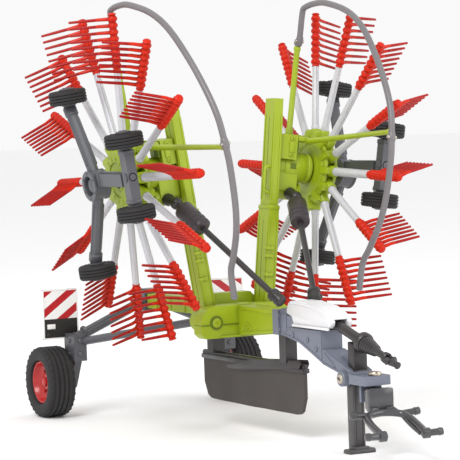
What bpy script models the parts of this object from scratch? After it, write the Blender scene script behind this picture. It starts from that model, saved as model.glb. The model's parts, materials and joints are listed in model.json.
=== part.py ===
"""Scale model of a trailed twin-rotor hay rake, rotors folded up for the road.

Metres, +Z up, +X to the vehicle's left, -Y to the hitch.  The origin is on the ground, at the
middle of the rake's length and width.  Places along Y are given from the rotor axes and moved
once, by the "rake" empty.  Each rotor has its own frame: "out" runs along its spin axis away
from the middle of the rake, "front" towards the hitch, and "up" in the plane of the rotor.
"""
import math

import bmesh
import bpy
import numpy as np
from mathutils import Matrix, Vector

MM = 0.001
GAP = 0.3 * MM                  # between pieces that touch or run in each other
SIDES = {"left": 1, "right": -1}

# Rotors
ROTOR_X = 32.4 * MM
ROTOR_Z = 77.0 * MM
ROTOR_LEAN = math.radians(8.4)
ARM_COUNT = 14
ARM_PHASE = {"left": -10.8, "right": 10.5}      # first arm, degrees from straight up to the front
HEAD_R = 12.0 * MM
HEAD_DISC_R = 8.9 * MM
HEAD_HUB_R = 7.0 * MM
HEAD_HALF = 3.0 * MM
FLANGE_T = 1.3 * MM
ARM_R = 1.15 * MM
ARM_OUTER = 36.5 * MM
RAKE_R = 1.6 * MM
RAKE_INNER = 33.6 * MM
RAKE_OUTER = 50.0 * MM
TINE_COUNT = 8
TINE_INNER = 34.6 * MM
TINE_OUTER = 48.6 * MM
TINE_R = 0.45 * MM
TINE_BEND = (3.4 * MM, 1.6 * MM)                # out and back, from the arm's centre line
TINE_TIP = (11.9 * MM, 5.0 * MM)

# Gearboxes and the axle through each rotor
AXLE_R = 2.0 * MM
DRUM_R = 4.4 * MM
DRUM_OUT = (-18.4 * MM, -3.6 * MM)        # the inner end is cut at the boom bar
STUB_R = 2.7 * MM
STUB_UP = -7.6 * MM
STUB_OUT = -6.8 * MM

# Folding booms
BOOM_LEAN = {"left": math.radians(5.5), "right": math.radians(9.1)}
BOOM_IN = {"left": 0.0, "right": 1.6 * MM}      # the sleeve's middle, inward from its fold pin
BOOM_FRONT = 3.9 * MM
SLEEVE_SIZE = (3.5 * MM, 6.6 * MM)
SLEEVE_L = 34.2 * MM
BAR_SIZE = (3.0 * MM, 5.8 * MM)
BAR_L = 66.8 * MM
BAR_IN_SLEEVE = 8.0 * MM
FOLD_X = 10.3 * MM
FOLD_Z = 33.0 * MM
FOLD_EYE_R = 3.0 * MM
FOLD_PIN_R = 1.4 * MM

# Frame
DRAW_REAR = -36.0 * MM
FRAME_HALF = 15.3 * MM
REAR_HALF = 10.2 * MM
REAR_TOP = 40.8 * MM
REAR_CORNER = 2.2 * MM
FRAME_BOTTOM = 28.3 * MM
FRAME_FLOOR_T = 1.3 * MM
FRONT_PLATE_T = 5.0 * MM
REAR_PLATE_T = 4.6 * MM
FRONT_EAR_R = 5.0 * MM
FRAME_CORE_HALF = 6.3 * MM
NOSE_HALF = 2.8 * MM
NOSE_FRONT = DRAW_REAR + GAP
SPINE_HALF = 2.6 * MM
SPINE_REAR = 51.0 * MM
SPINE_TOP = 38.0 * MM
SPINE_H = 4.6 * MM

# Rear axle, wheels and warning panels
WHEEL_X = 33.84 * MM
WHEEL_Y = 59.7 * MM
WHEEL_R = 11.34 * MM
TYRE_W = 8.9 * MM
RIM_R = 6.6 * MM
RIM_W = 6.4 * MM
STUB_AXLE_R = 1.3 * MM
KNUCKLE_X = 26.8 * MM
PANEL_W = 12.0 * MM
PANEL_H = 15.8 * MM
PANEL_T = 1.2 * MM
PANEL_X = 30.1 * MM
PANEL_Y = 57.6 * MM
PANEL_Z = 32.9 * MM

# Bogies, the small wheels that carry each rotor at work
BOGIE_OUT = 9.8 * MM
BOGIE_WHEEL_R = 5.7 * MM
BOGIE_WHEEL_W = 5.0 * MM
BOGIE_AXLE_R = 0.8 * MM
BOGIE_HUB_R = 4.4 * MM
BOGIE_HUB_OUT = (7.4 * MM, 12.4 * MM)
BOGIE_REAR = -10.5 * MM
BOGIE_REAR_UP = 26.6 * MM
BEAM_FRONT = 24.0 * MM
BEAM_UP = 2.6 * MM
BEAM_WHEEL_UP = 10.7 * MM
BOGIE_ARM_R = 1.7 * MM

# Guard hoops
HOOP_OUT = -6.6 * MM
HOOP_R = 0.92 * MM
HOOP_PATH = [(-8.4, 39.2), (-6.4, 39.6), (-6.1, 48.4), (-4.6, 50.2), (1.5, 51.1), (8.5, 50.8),
             (21.4, 47.8), (31.7, 42.4), (41.6, 33.0), (49.0, 23.6), (53.0, 16.4), (54.6, 9.2),
             (55.4, 3.0), (54.8, -8.0), (52.6, -16.0), (48.2, -23.5), (45.2, -28.0), (44.6, -36.0)]

# Drawbar, hitch and stand
DRAW_HALF = 3.3 * MM
BACK_HALF = 3.9 * MM
TONGUE_HALF = 4.3 * MM
TONGUE_FRONT = -88.6 * MM
TONGUE_REAR = -80.0 * MM
TONGUE_TOP = 22.4 * MM
TONGUE_BOTTOM = 19.8 * MM
COVER_HALF = 3.6 * MM
COVER_REAR = -47.5 * MM
COVER_BOTTOM = 33.7 * MM
NUB_REAR = -44.0 * MM
NUB_BOTTOM = 36.9 * MM
DEEP_FRONT = -63.8 * MM
POST_Y = (-79.2 * MM, -76.2 * MM)
HITCH_Y = -86.9 * MM
HITCH_Z = 17.0 * MM
HITCH_YAW = math.radians(-7.0)
HITCH_PIN_R = 1.0 * MM
FORK_BLOCK_HALF = 3.7 * MM
FORK_BLOCK_FRONT = 4.1 * MM
FORK_EYE_R = 1.9 * MM
FORK_BLOCK_Z = (12.8 * MM, 19.2 * MM)
FORK_TUBE_R = 1.0 * MM
STAND_PIVOT = (-75.8 * MM, 20.9 * MM)
STAND_HALF = 1.85 * MM
STAND_EYE_R = 1.7 * MM
STAND_PIN_R = 0.7 * MM
STAND_LEG = (-77.7 * MM, -74.5 * MM)
FOOT_SIZE = (8.4 * MM, 3.8 * MM, 1.3 * MM)
FOOT_Y = -77.4 * MM
INPUT_R = 1.8 * MM

# Drive shafts
SHAFT_FOOT = (5.9 * MM, -44.2 * MM, 41.3 * MM)
SHAFT_HEAD = (20.3 * MM, -8.6 * MM, 69.2 * MM)
JOINT_R = 1.8 * MM
JOINT_L = (-1.0 * MM, 3.4 * MM)
ROD_R = 0.9 * MM
GUARD_R = 3.0 * MM
GUARD_L = 12.6 * MM
ROD_IN_GUARD = 10.6 * MM

# Swath curtain
CURTAIN_T = 1.6 * MM
CURTAIN_TOP = 21.6 * MM
CURTAIN_BOTTOM = 7.4 * MM
CURTAIN_REAR = 16.0 * MM
CURTAIN_FRONT = -47.8 * MM

LENGTH_SHIFT = 18.31 * MM       # from the rotor axes to the middle of the length

for old in list(bpy.data.objects):
    bpy.data.objects.remove(old, do_unlink=True)

rake_parts = bpy.data.collections.new("hay_rake")
bpy.context.scene.collection.children.link(rake_parts)


def material(name, color, roughness=0.4, metallic=0.0):
    mat = bpy.data.materials.new(name)
    mat.use_nodes = True
    shader = mat.node_tree.nodes["Principled BSDF"]
    shader.inputs["Base Color"].default_value = (*color, 1.0)
    shader.inputs["Roughness"].default_value = roughness
    shader.inputs["Metallic"].default_value = metallic
    return mat


LIME = material("lime", (0.45, 0.58, 0.02))
RED = material("red", (0.75, 0.04, 0.015))
GREY = material("grey", (0.15, 0.15, 0.155), 0.5)
BLUE_GREY = material("blue_grey", (0.25, 0.27, 0.32), 0.45)
TUBE_GREY = material("tube_grey", (0.25, 0.23, 0.24), 0.35)
BLACK = material("black", (0.025, 0.022, 0.022), 0.45)
TYRE = material("tyre", (0.02, 0.019, 0.019), 0.8)
WHITE = material("white", (0.85, 0.84, 0.83), 0.35)
STRIPE = material("warning", (0.8, 0.8, 0.8), 0.4)
STEEL = material("steel", (0.6, 0.6, 0.58), 0.3, 1.0)


def empty(name, location, parent=None, turn_y=0.0):
    guide = bpy.data.objects.new(name, None)
    guide.location = location
    guide.rotation_euler = (0.0, turn_y, 0.0)
    guide.parent = parent
    rake_parts.objects.link(guide)
    return guide


def mesh_object(name, bm):
    mesh = bpy.data.meshes.new(name)
    bm.to_mesh(mesh)
    bm.free()
    obj = bpy.data.objects.new(name, mesh)
    rake_parts.objects.link(obj)
    return obj


def finish(obj, name, mat, parent=None, location=(0, 0, 0), smooth=True):
    obj.name = name
    obj.data.name = name
    obj.data.materials.clear()
    obj.data.materials.append(mat)
    obj.parent = parent
    obj.location = location
    if smooth:
        obj.data.shade_smooth()
        obj.data.set_sharp_from_angle(angle=math.radians(35))
    return obj


def box(low, high):
    """A box between two corners."""
    low, high = Vector(low), Vector(high)
    bm = bmesh.new()
    size = high - low
    place = Matrix.Translation((low + high) / 2) @ Matrix.Diagonal((*size, 1.0))
    bmesh.ops.create_cube(bm, size=1.0, matrix=place)
    return mesh_object("box", bm)


def rod(start, end, radius, end_radius=None, sides=12):
    """A cylinder or cone from one point to another."""
    start, end = Vector(start), Vector(end)
    along = end - start
    place = Matrix.Translation((start + end) / 2) @ along.to_track_quat("Z", "Y").to_matrix().to_4x4()
    bm = bmesh.new()
    bmesh.ops.create_cone(bm, cap_ends=True, segments=sides, radius1=radius,
                          radius2=radius if end_radius is None else end_radius,
                          depth=along.length, matrix=place)
    return mesh_object("rod", bm)


def turned(profile, sides=24):
    """A ring about X, from its closed profile of (x, radius), outer side first."""
    bm = bmesh.new()
    corners = [bm.verts.new((radius, 0, x)) for x, radius in profile]
    for one, two in zip(corners, corners[1:] + corners[:1]):
        bm.edges.new((one, two))
    obj = mesh_object("ring", bm)
    screw = obj.modifiers.new("turn", "SCREW")
    screw.axis = "Z"
    screw.steps = sides
    screw.render_steps = sides
    screw.use_merge_vertices = True
    screw.merge_threshold = 0.00001
    ring = curve_to_mesh(obj)
    ring.data.transform(Matrix.Rotation(math.pi / 2, 4, "Y"))
    return ring


def plate(outline, axis, low, high):
    """A flat outline, extruded between two places: (y, z) along X, (x, z) along Y, (x, y) along Z."""
    curve = bpy.data.curves.new("plate", "CURVE")
    curve.dimensions = "2D"
    curve.fill_mode = "BOTH"
    curve.extrude = abs(high - low) / 2
    spline = curve.splines.new("POLY")
    spline.points.add(len(outline) - 1)
    for point, (a, b) in zip(spline.points, outline):
        point.co = (a, b, 0.0, 1.0)
    spline.use_cyclic_u = True
    obj = bpy.data.objects.new("plate", curve)
    rake_parts.objects.link(obj)
    middle = (low + high) / 2
    if axis == "X":
        turn = Matrix(((0, 0, 1, middle), (1, 0, 0, 0), (0, 1, 0, 0), (0, 0, 0, 1)))
    elif axis == "Y":
        turn = Matrix(((1, 0, 0, 0), (0, 0, -1, middle), (0, 1, 0, 0), (0, 0, 0, 1)))
    else:
        turn = Matrix.Translation((0, 0, middle))
    obj.matrix_world = turn
    return curve_to_mesh(obj)


def tube(points, radius, resolution=2):
    """A bent tube through the points."""
    curve = bpy.data.curves.new("tube", "CURVE")
    curve.dimensions = "3D"
    curve.bevel_depth = radius
    curve.bevel_resolution = resolution
    curve.use_fill_caps = True
    spline = curve.splines.new("POLY")
    spline.points.add(len(points) - 1)
    for point, place in zip(spline.points, points):
        point.co = (*place, 1.0)
    obj = bpy.data.objects.new("tube", curve)
    rake_parts.objects.link(obj)
    return curve_to_mesh(obj)


def curve_to_mesh(obj):
    bpy.context.view_layer.update()
    evaluated = obj.evaluated_get(bpy.context.evaluated_depsgraph_get())
    mesh = bpy.data.meshes.new_from_object(evaluated)
    mesh.transform(obj.matrix_world)
    bm = bmesh.new()
    bm.from_mesh(mesh)
    bmesh.ops.remove_doubles(bm, verts=bm.verts, dist=0.00001)
    bmesh.ops.recalc_face_normals(bm, faces=bm.faces)
    bm.to_mesh(mesh)
    bm.free()
    bpy.data.objects.remove(obj, do_unlink=True)
    made = bpy.data.objects.new("piece", mesh)
    rake_parts.objects.link(made)
    return made


def boolean(base, other, operation):
    """Cut or join, and keep the result as the base's own mesh."""
    step = base.modifiers.new(operation, "BOOLEAN")
    step.operation = operation
    step.solver = "EXACT"
    step.use_self = True
    step.object = other
    bpy.context.view_layer.update()
    evaluated = base.evaluated_get(bpy.context.evaluated_depsgraph_get())
    mesh = bpy.data.meshes.new_from_object(evaluated)
    base.modifiers.clear()
    base.data = mesh
    bpy.data.objects.remove(other, do_unlink=True)
    return base


def merged(pieces):
    """Several pieces as one mesh object, still as separate shells."""
    bm = bmesh.new()
    for piece in pieces:
        bm.from_mesh(piece.data)
        bpy.data.objects.remove(piece, do_unlink=True)
    return mesh_object("merged", bm)


def fuse(pieces, cuts=()):
    """One closed body from overlapping pieces, less the cuts."""
    base = pieces[0]
    if len(pieces) > 1:
        base = boolean(base, merged(pieces[1:]), "UNION")
    if cuts:
        base = boolean(base, merged(list(cuts)), "DIFFERENCE")
    return base


def arc(centre, radius, start, stop, steps):
    """Points on an arc, degrees anticlockwise from the first axis."""
    turns = np.radians(np.linspace(start, stop, steps + 1))
    return [(centre[0] + radius * math.cos(t), centre[1] + radius * math.sin(t)) for t in turns]


rake = empty("rake", (0, LENGTH_SHIFT, 0))


def rotor_point(side, out, front, up):
    """A rotor frame's point in that frame's own axes."""
    return Vector((side * out, -front, up))


def rotor_frame(side):
    """The rotor's frame, placed in the rake's."""
    return Matrix.Translation((side * ROTOR_X, 0, ROTOR_Z)) @ Matrix.Rotation(side * ROTOR_LEAN, 4, "Y")


def boom_frame(name, side):
    """The boom's frame, on its fold pin, placed in the rake's."""
    return (Matrix.Translation((side * FOLD_X, -BOOM_FRONT, FOLD_Z))
            @ Matrix.Rotation(side * BOOM_LEAN[name], 4, "Y"))


# ---------------------------------------------------------------- frame

SLEEVE_FACE_FRONT = -BOOM_FRONT - SLEEVE_SIZE[1] / 2
SLEEVE_FACE_REAR = -BOOM_FRONT + SLEEVE_SIZE[1] / 2
FRONT_PLATE_REAR = SLEEVE_FACE_FRONT - GAP
FRONT_PLATE_FRONT = FRONT_PLATE_REAR - FRONT_PLATE_T
REAR_PLATE_FRONT = SLEEVE_FACE_REAR + GAP
REAR_PLATE_REAR = REAR_PLATE_FRONT + REAR_PLATE_T


def main_frame():
    corner = 1.4 * MM
    front = [(-FRAME_HALF, FRAME_BOTTOM + corner), (-FRAME_HALF, FOLD_Z)]
    front += arc((-FOLD_X, FOLD_Z), FRONT_EAR_R, 180, 90, 8)
    front += arc((FOLD_X, FOLD_Z), FRONT_EAR_R, 90, 0, 8)
    front += [(FRAME_HALF, FRAME_BOTTOM + corner), (FRAME_HALF - corner, FRAME_BOTTOM),
              (corner - FRAME_HALF, FRAME_BOTTOM)]
    rear = [(-REAR_HALF + REAR_CORNER, FRAME_BOTTOM), (-REAR_HALF, FRAME_BOTTOM + REAR_CORNER),
            (-REAR_HALF, REAR_TOP - REAR_CORNER), (-REAR_HALF + REAR_CORNER, REAR_TOP)]
    rear += [(-x, z) for x, z in reversed(rear)]
    pieces = [plate(front, "Y", FRONT_PLATE_FRONT, FRONT_PLATE_REAR),
              plate(rear, "Y", REAR_PLATE_FRONT, REAR_PLATE_REAR),
              box((GAP - REAR_HALF + REAR_CORNER, FRONT_PLATE_FRONT + GAP, FRAME_BOTTOM + 0.1 * MM),
                  (REAR_HALF - REAR_CORNER - GAP, REAR_PLATE_REAR - GAP, FRAME_BOTTOM + FRAME_FLOOR_T)),
              box((-FRAME_CORE_HALF, FRONT_PLATE_FRONT + GAP, FRAME_BOTTOM + GAP),
                  (FRAME_CORE_HALF, REAR_PLATE_REAR + 6 * MM, FOLD_Z + FRONT_EAR_R - GAP)),
              plate([(NOSE_FRONT, 31.0 * MM), (FRONT_PLATE_FRONT + MM, 28.9 * MM),
                     (FRONT_PLATE_FRONT + MM, 37.8 * MM), (NOSE_FRONT, 37.4 * MM)],
                    "X", -NOSE_HALF, NOSE_HALF),
              box((-SPINE_HALF, REAR_PLATE_REAR, SPINE_TOP - SPINE_H), (SPINE_HALF, SPINE_REAR, SPINE_TOP))]
    holes = [rod((side * FOLD_X, FRONT_PLATE_FRONT - MM, FOLD_Z),
                 (side * FOLD_X, FRONT_PLATE_REAR + MM, FOLD_Z), FOLD_PIN_R + GAP, sides=16)
             for side in (-1, 1)]
    finish(fuse(pieces, holes), "main_frame", LIME, rake)


def fold_pins():
    for name, side in SIDES.items():
        pin = rod((0, FRONT_PLATE_FRONT - 0.2 * MM, 0), (0, REAR_PLATE_FRONT - GAP, 0), FOLD_PIN_R)
        finish(pin, name + "_fold_pin", LIME, rake, (side * FOLD_X, 0, FOLD_Z))


# ---------------------------------------------------------------- rear axle

def rear_axle():
    pieces = [box((-3.4 * MM, SPINE_REAR + GAP, 32.6 * MM), (3.4 * MM, SPINE_REAR + 6.5 * MM, 39.0 * MM))]
    for side in (-1, 1):
        pieces.append(rod((0, SPINE_REAR + 3.4 * MM, 36.6 * MM),
                          (side * KNUCKLE_X, SPINE_REAR + 3.4 * MM, 25.2 * MM), 1.7 * MM, sides=8))
        inner, outer = side * (KNUCKLE_X - 2.2 * MM), side * (KNUCKLE_X + 2.2 * MM)
        pieces.append(box((min(inner, outer), SPINE_REAR, 18.0 * MM),
                          (max(inner, outer), SPINE_REAR + 7.0 * MM, 26.6 * MM)))
        leg = [(SPINE_REAR + 1.2 * MM, 19.0 * MM), (SPINE_REAR + 6.4 * MM, 19.0 * MM)]
        leg += [(WHEEL_Y + 2.2 * MM, WHEEL_R + 1.0 * MM), (WHEEL_Y + 2.2 * MM, WHEEL_R - 2.2 * MM),
                (WHEEL_Y - 2.2 * MM, WHEEL_R - 2.2 * MM)]
        pieces.append(plate(leg, "X", side * (KNUCKLE_X - 1.2 * MM), side * (KNUCKLE_X + 1.2 * MM)))
        pieces.append(rod((side * KNUCKLE_X, WHEEL_Y, WHEEL_R),
                          (side * (WHEEL_X + 0.6 * MM), WHEEL_Y, WHEEL_R), STUB_AXLE_R))
        pieces.append(rod((side * (KNUCKLE_X - 0.8 * MM), SPINE_REAR + 2.0 * MM, 24.0 * MM),
                          (side * (FRAME_CORE_HALF - 1.0 * MM), REAR_PLATE_REAR + 6.9 * MM, 31.6 * MM),
                          1.3 * MM, sides=8))
    finish(fuse(pieces), "rear_axle", GREY, rake)


def rear_wheels():
    for name, side in SIDES.items():
        place = (side * WHEEL_X, WHEEL_Y, WHEEL_R)
        half, rim = TYRE_W / 2, RIM_W / 2
        shoulder = 1.4 * MM
        tyre = turned([(-rim, RIM_R + GAP), (rim, RIM_R + GAP), (half, RIM_R + 1.6 * MM),
                       (half, WHEEL_R - shoulder), (half - shoulder, WHEEL_R),
                       (shoulder - half, WHEEL_R), (-half, WHEEL_R - shoulder), (-half, RIM_R + 1.6 * MM)],
                      sides=28)
        finish(tyre, name + "_rear_tyre", TYRE, rake, place)
        bore, blind = STUB_AXLE_R + GAP, 1.0 * MM
        dish = side * (rim - 2.0 * MM)
        rim_body = fuse([rod((-rim, 0, 0), (rim, 0, 0), RIM_R, sides=28)],
                        [rod((dish, 0, 0), (side * (rim + MM), 0, 0), 4.4 * MM, 5.6 * MM, sides=28),
                         rod((-side * (rim + MM), 0, 0), (side * blind, 0, 0), bore)])
        finish(rim_body, name + "_rear_rim", RED, rake, place)


def warning_panels():
    for name, side in SIDES.items():
        panel = box((-PANEL_W / 2, -PANEL_T / 2, -PANEL_H / 2), (PANEL_W / 2, PANEL_T / 2, PANEL_H / 2))
        low = SPINE_REAR + 7.0 * MM + GAP - PANEL_Y
        inner = side * (KNUCKLE_X - 1.6 * MM - PANEL_X)
        outer = side * (KNUCKLE_X + 1.8 * MM - PANEL_X)
        lug = box((min(inner, outer), -PANEL_T / 2, 21.0 * MM - PANEL_Z),
                  (max(inner, outer), PANEL_T / 2, -PANEL_H / 2 + MM))
        body = fuse([panel, lug])
        finish(body, name + "_warning_panel", STRIPE, rake,
               (side * PANEL_X, PANEL_Y + max(0.0, low + PANEL_T / 2), PANEL_Z))


# ---------------------------------------------------------------- booms and gearboxes

def boom(name, side):
    frame_at = empty(name + "_boom_axis", (side * FOLD_X, -BOOM_FRONT, FOLD_Z), rake, side * BOOM_LEAN[name])
    middle = -side * BOOM_IN[name]
    half_t, half_w = SLEEVE_SIZE[0] / 2, SLEEVE_SIZE[1] / 2
    start = SLEEVE_L - BAR_IN_SLEEVE
    sleeve = box((middle - half_t, -half_w, 0), (middle + half_t, half_w, SLEEVE_L))
    eye = rod((0, -half_w, 0), (0, half_w, 0), FOLD_EYE_R, sides=20)
    bore = rod((0, -2 * half_w, 0), (0, 2 * half_w, 0), FOLD_PIN_R + GAP, sides=16)
    bar_t, bar_w = BAR_SIZE[0] / 2, BAR_SIZE[1] / 2
    socket = box((middle - bar_t - 0.1 * MM, -bar_w - 0.1 * MM, start - GAP),
                 (middle + bar_t + 0.1 * MM, bar_w + 0.1 * MM, SLEEVE_L + MM))
    finish(fuse([sleeve, eye], [bore, socket]), name + "_boom_sleeve", LIME, frame_at)
    bar = box((middle - bar_t, -bar_w, start), (middle + bar_t, bar_w, BAR_L))
    finish(bar, name + "_boom_bar", LIME, frame_at)


def gearbox(name, side, frame_at):
    def p(out, front, up):
        return rotor_point(side, out, front, up)

    inner = DRUM_OUT[0]
    pieces = [rod(p(inner, 0, 0), p(DRUM_OUT[1], 0, 0), DRUM_R, sides=24),
              rod(p(DRUM_OUT[1] - MM, 0, 0), p(BOGIE_HUB_OUT[0] - GAP, 0, 0), AXLE_R, sides=16),
              rod(p(inner, 1.0 * MM, STUB_UP), p(STUB_OUT, 1.0 * MM, STUB_UP), STUB_R, sides=16),
              corner_box(p(inner, -2.4 * MM, STUB_UP), p(-8.4 * MM, 4.0 * MM, -2.0 * MM)),
              corner_box(p(inner, -2.4 * MM, 2.0 * MM), p(-10.2 * MM, 5.6 * MM, 9.6 * MM))]
    low, high = -side * 12 * MM, side * (BAR_SIZE[0] / 2 + GAP - BOOM_IN[name])
    boom_room = box((min(low, high), -16 * MM, 20 * MM), (max(low, high), 16 * MM, 80 * MM))
    boom_room.data.transform(rotor_frame(side).inverted() @ boom_frame(name, side))
    finish(fuse(pieces, [boom_room]), name + "_gearbox", LIME, frame_at)


def corner_box(one, two):
    low = [min(a, b) for a, b in zip(one, two)]
    high = [max(a, b) for a, b in zip(one, two)]
    return box(low, high)


def hoop_bracket(name, side, frame_at):
    def p(out, front, up):
        return rotor_point(side, out, front, up)

    end_front, end_up = HOOP_PATH[11][0] * MM, HOOP_PATH[11][1] * MM
    pieces = [corner_box(p(-10.2 * MM + GAP, -8.6 * MM, 7.8 * MM), p(HOOP_OUT + 0.8 * MM, 5.4 * MM, 9.4 * MM)),
              rod(p(HOOP_OUT, -7.2 * MM, 8.4 * MM), p(HOOP_OUT, -7.2 * MM, HOOP_PATH[0][1] * MM - HOOP_R),
                  0.95 * MM, sides=8),
              rod(p(HOOP_OUT, 4.4 * MM, 8.6 * MM), p(HOOP_OUT, end_front - HOOP_R - 1.1 * MM, end_up), 0.75 * MM, sides=8)]
    finish(fuse(pieces), name + "_hoop_bracket", LIME, frame_at)


def hoop(name, side, frame_at):
    points = [rotor_point(side, HOOP_OUT, front * MM, up * MM) for front, up in HOOP_PATH]
    finish(tube(points, HOOP_R, 2), name + "_guard_hoop", TUBE_GREY, frame_at)


# ---------------------------------------------------------------- rotors

def rotor_head(name, side, frame_at):
    bore = AXLE_R + GAP
    half, groove = HEAD_HALF, HEAD_HALF - FLANGE_T
    profile = [(-half, bore), (half, bore), (half, HEAD_DISC_R), (groove, HEAD_DISC_R), (groove, HEAD_HUB_R),
               (-groove, HEAD_HUB_R), (-groove, HEAD_R), (-half, HEAD_R)]
    ring = turned([(side * x, r) for x, r in profile], sides=28)
    finish(ring, name + "_rotor_head", LIME, frame_at)


def tine_arms(name, side, frame_at):
    ring_half = HEAD_HALF - FLANGE_T - GAP
    inner = HEAD_HUB_R + GAP
    ring = turned([(-ring_half, inner), (ring_half, inner), (ring_half, inner + 3.2 * MM),
                   (-ring_half, inner + 3.2 * MM)], sides=28)
    shells = []
    for index in range(ARM_COUNT):
        shells += one_rake(side, math.radians(ARM_PHASE[name] + 360.0 * index / ARM_COUNT))
    finish(boolean(ring, merged(shells), "UNION"), name + "_tine_arms", RED, frame_at)


def one_rake(side, turn):
    radial = Vector((0, -math.sin(turn), math.cos(turn)))
    back = Vector((0, math.cos(turn), math.sin(turn)))
    out = Vector((side, 0, 0))
    pieces = [rod(radial * (HEAD_HUB_R + 1.6 * MM), radial * ARM_OUTER, ARM_R, sides=6),
              rod(radial * RAKE_INNER, radial * RAKE_OUTER, RAKE_R, sides=8)]
    for tine in range(TINE_COUNT):
        reach = TINE_INNER + (TINE_OUTER - TINE_INNER) * tine / (TINE_COUNT - 1)
        start = radial * reach
        bend = start + out * TINE_BEND[0] + back * TINE_BEND[1]
        tip = start + out * TINE_TIP[0] + back * TINE_TIP[1]
        pieces.append(tube([start, bend, tip], TINE_R, 0))
    return pieces


# ---------------------------------------------------------------- bogies

def bogie_frame(name, side, frame_at):
    def p(out, front, up):
        return rotor_point(side, out, front, up)

    hub = rod(p(BOGIE_HUB_OUT[0], 0, 0), p(BOGIE_HUB_OUT[1], 0, 0), BOGIE_HUB_R, sides=24)
    pieces = [hub]
    axle_half = BOGIE_WHEEL_W / 2
    for way in (1, -1):
        carrier = way * (BOGIE_REAR_UP - axle_half - 1.0 * MM)
        pieces.append(rod(p(BOGIE_OUT, 0, way * 2.0 * MM), p(BOGIE_OUT, BOGIE_REAR, carrier), BOGIE_ARM_R, sides=10))
        pieces.append(rod(p(BOGIE_OUT, BOGIE_REAR, carrier), p(BOGIE_OUT, BOGIE_REAR, way * (BOGIE_REAR_UP + axle_half)),
                          BOGIE_AXLE_R, sides=10))
    pieces.append(corner_box(p(BOGIE_OUT - 1.5 * MM, 2.0 * MM, BEAM_UP * 0.5 - 1.5 * MM),
                             p(BOGIE_OUT + 1.5 * MM, BEAM_FRONT - 3.2 * MM, BEAM_UP * 0.5 + 2.2 * MM)))
    pieces.append(rod(p(BOGIE_OUT, BEAM_FRONT - 4.0 * MM, BEAM_UP), p(BOGIE_OUT, BEAM_FRONT + 1.9 * MM, BEAM_UP),
                      1.0 * MM, sides=10))
    eye = rod(p(BOGIE_HUB_OUT[0] + 2.0 * MM, 0, 0), p(BOGIE_HUB_OUT[1] + MM, 0, 0), 3.0 * MM, sides=20)
    finish(fuse(pieces, [eye]), name + "_bogie_frame", GREY, frame_at)


def bogie_beam(name, side, frame_at):
    def p(out, front, up):
        return rotor_point(side, out, front, up)

    axle_half = BOGIE_WHEEL_W / 2
    reach = BEAM_WHEEL_UP - axle_half - 1.0 * MM
    pieces = [corner_box(p(-1.5 * MM, -1.9 * MM, -reach), p(1.5 * MM, 1.9 * MM, reach)),
              rod(p(0, 0, -BEAM_WHEEL_UP - axle_half), p(0, 0, BEAM_WHEEL_UP + axle_half), BOGIE_AXLE_R, sides=10)]
    hole = rod(p(0, -4 * MM, 0), p(0, 4 * MM, 0), 1.0 * MM + GAP, sides=12)
    finish(fuse(pieces, [hole]), name + "_bogie_beam", GREY, frame_at, p(BOGIE_OUT, BEAM_FRONT, BEAM_UP))


def bogie_wheel(name, frame_at, place):
    """A ribbed roller that turns about the rotor's up axis."""
    half = BOGIE_WHEEL_W / 2
    edge = 0.9 * MM
    profile = [(-half, BOGIE_AXLE_R + GAP), (half, BOGIE_AXLE_R + GAP), (half, BOGIE_WHEEL_R - edge),
               (half - edge, BOGIE_WHEEL_R), (edge - half, BOGIE_WHEEL_R), (-half, BOGIE_WHEEL_R - edge)]
    wheel = turned(profile, sides=20)
    wheel.data.transform(Matrix.Rotation(-math.pi / 2, 4, "Y"))
    finish(wheel, name, TYRE, frame_at, place)


def bogie(name, side, frame_at):
    bogie_frame(name, side, frame_at)
    bogie_beam(name, side, frame_at)
    for label, front, up in (("rear_upper", BOGIE_REAR, BOGIE_REAR_UP), ("rear_lower", BOGIE_REAR, -BOGIE_REAR_UP),
                             ("front_upper", BEAM_FRONT, BEAM_UP + BEAM_WHEEL_UP),
                             ("front_lower", BEAM_FRONT, BEAM_UP - BEAM_WHEEL_UP)):
        bogie_wheel("%s_bogie_wheel_%s" % (name, label), frame_at, rotor_point(side, BOGIE_OUT, front, up))


def rotors():
    for name, side in SIDES.items():
        frame_at = empty(name + "_rotor_axis", (side * ROTOR_X, 0, ROTOR_Z), rake, side * ROTOR_LEAN)
        boom(name, side)
        gearbox(name, side, frame_at)
        hoop_bracket(name, side, frame_at)
        hoop(name, side, frame_at)
        rotor_head(name, side, frame_at)
        tine_arms(name, side, frame_at)
        bogie(name, side, frame_at)


# ---------------------------------------------------------------- drawbar, hitch and stand

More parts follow.
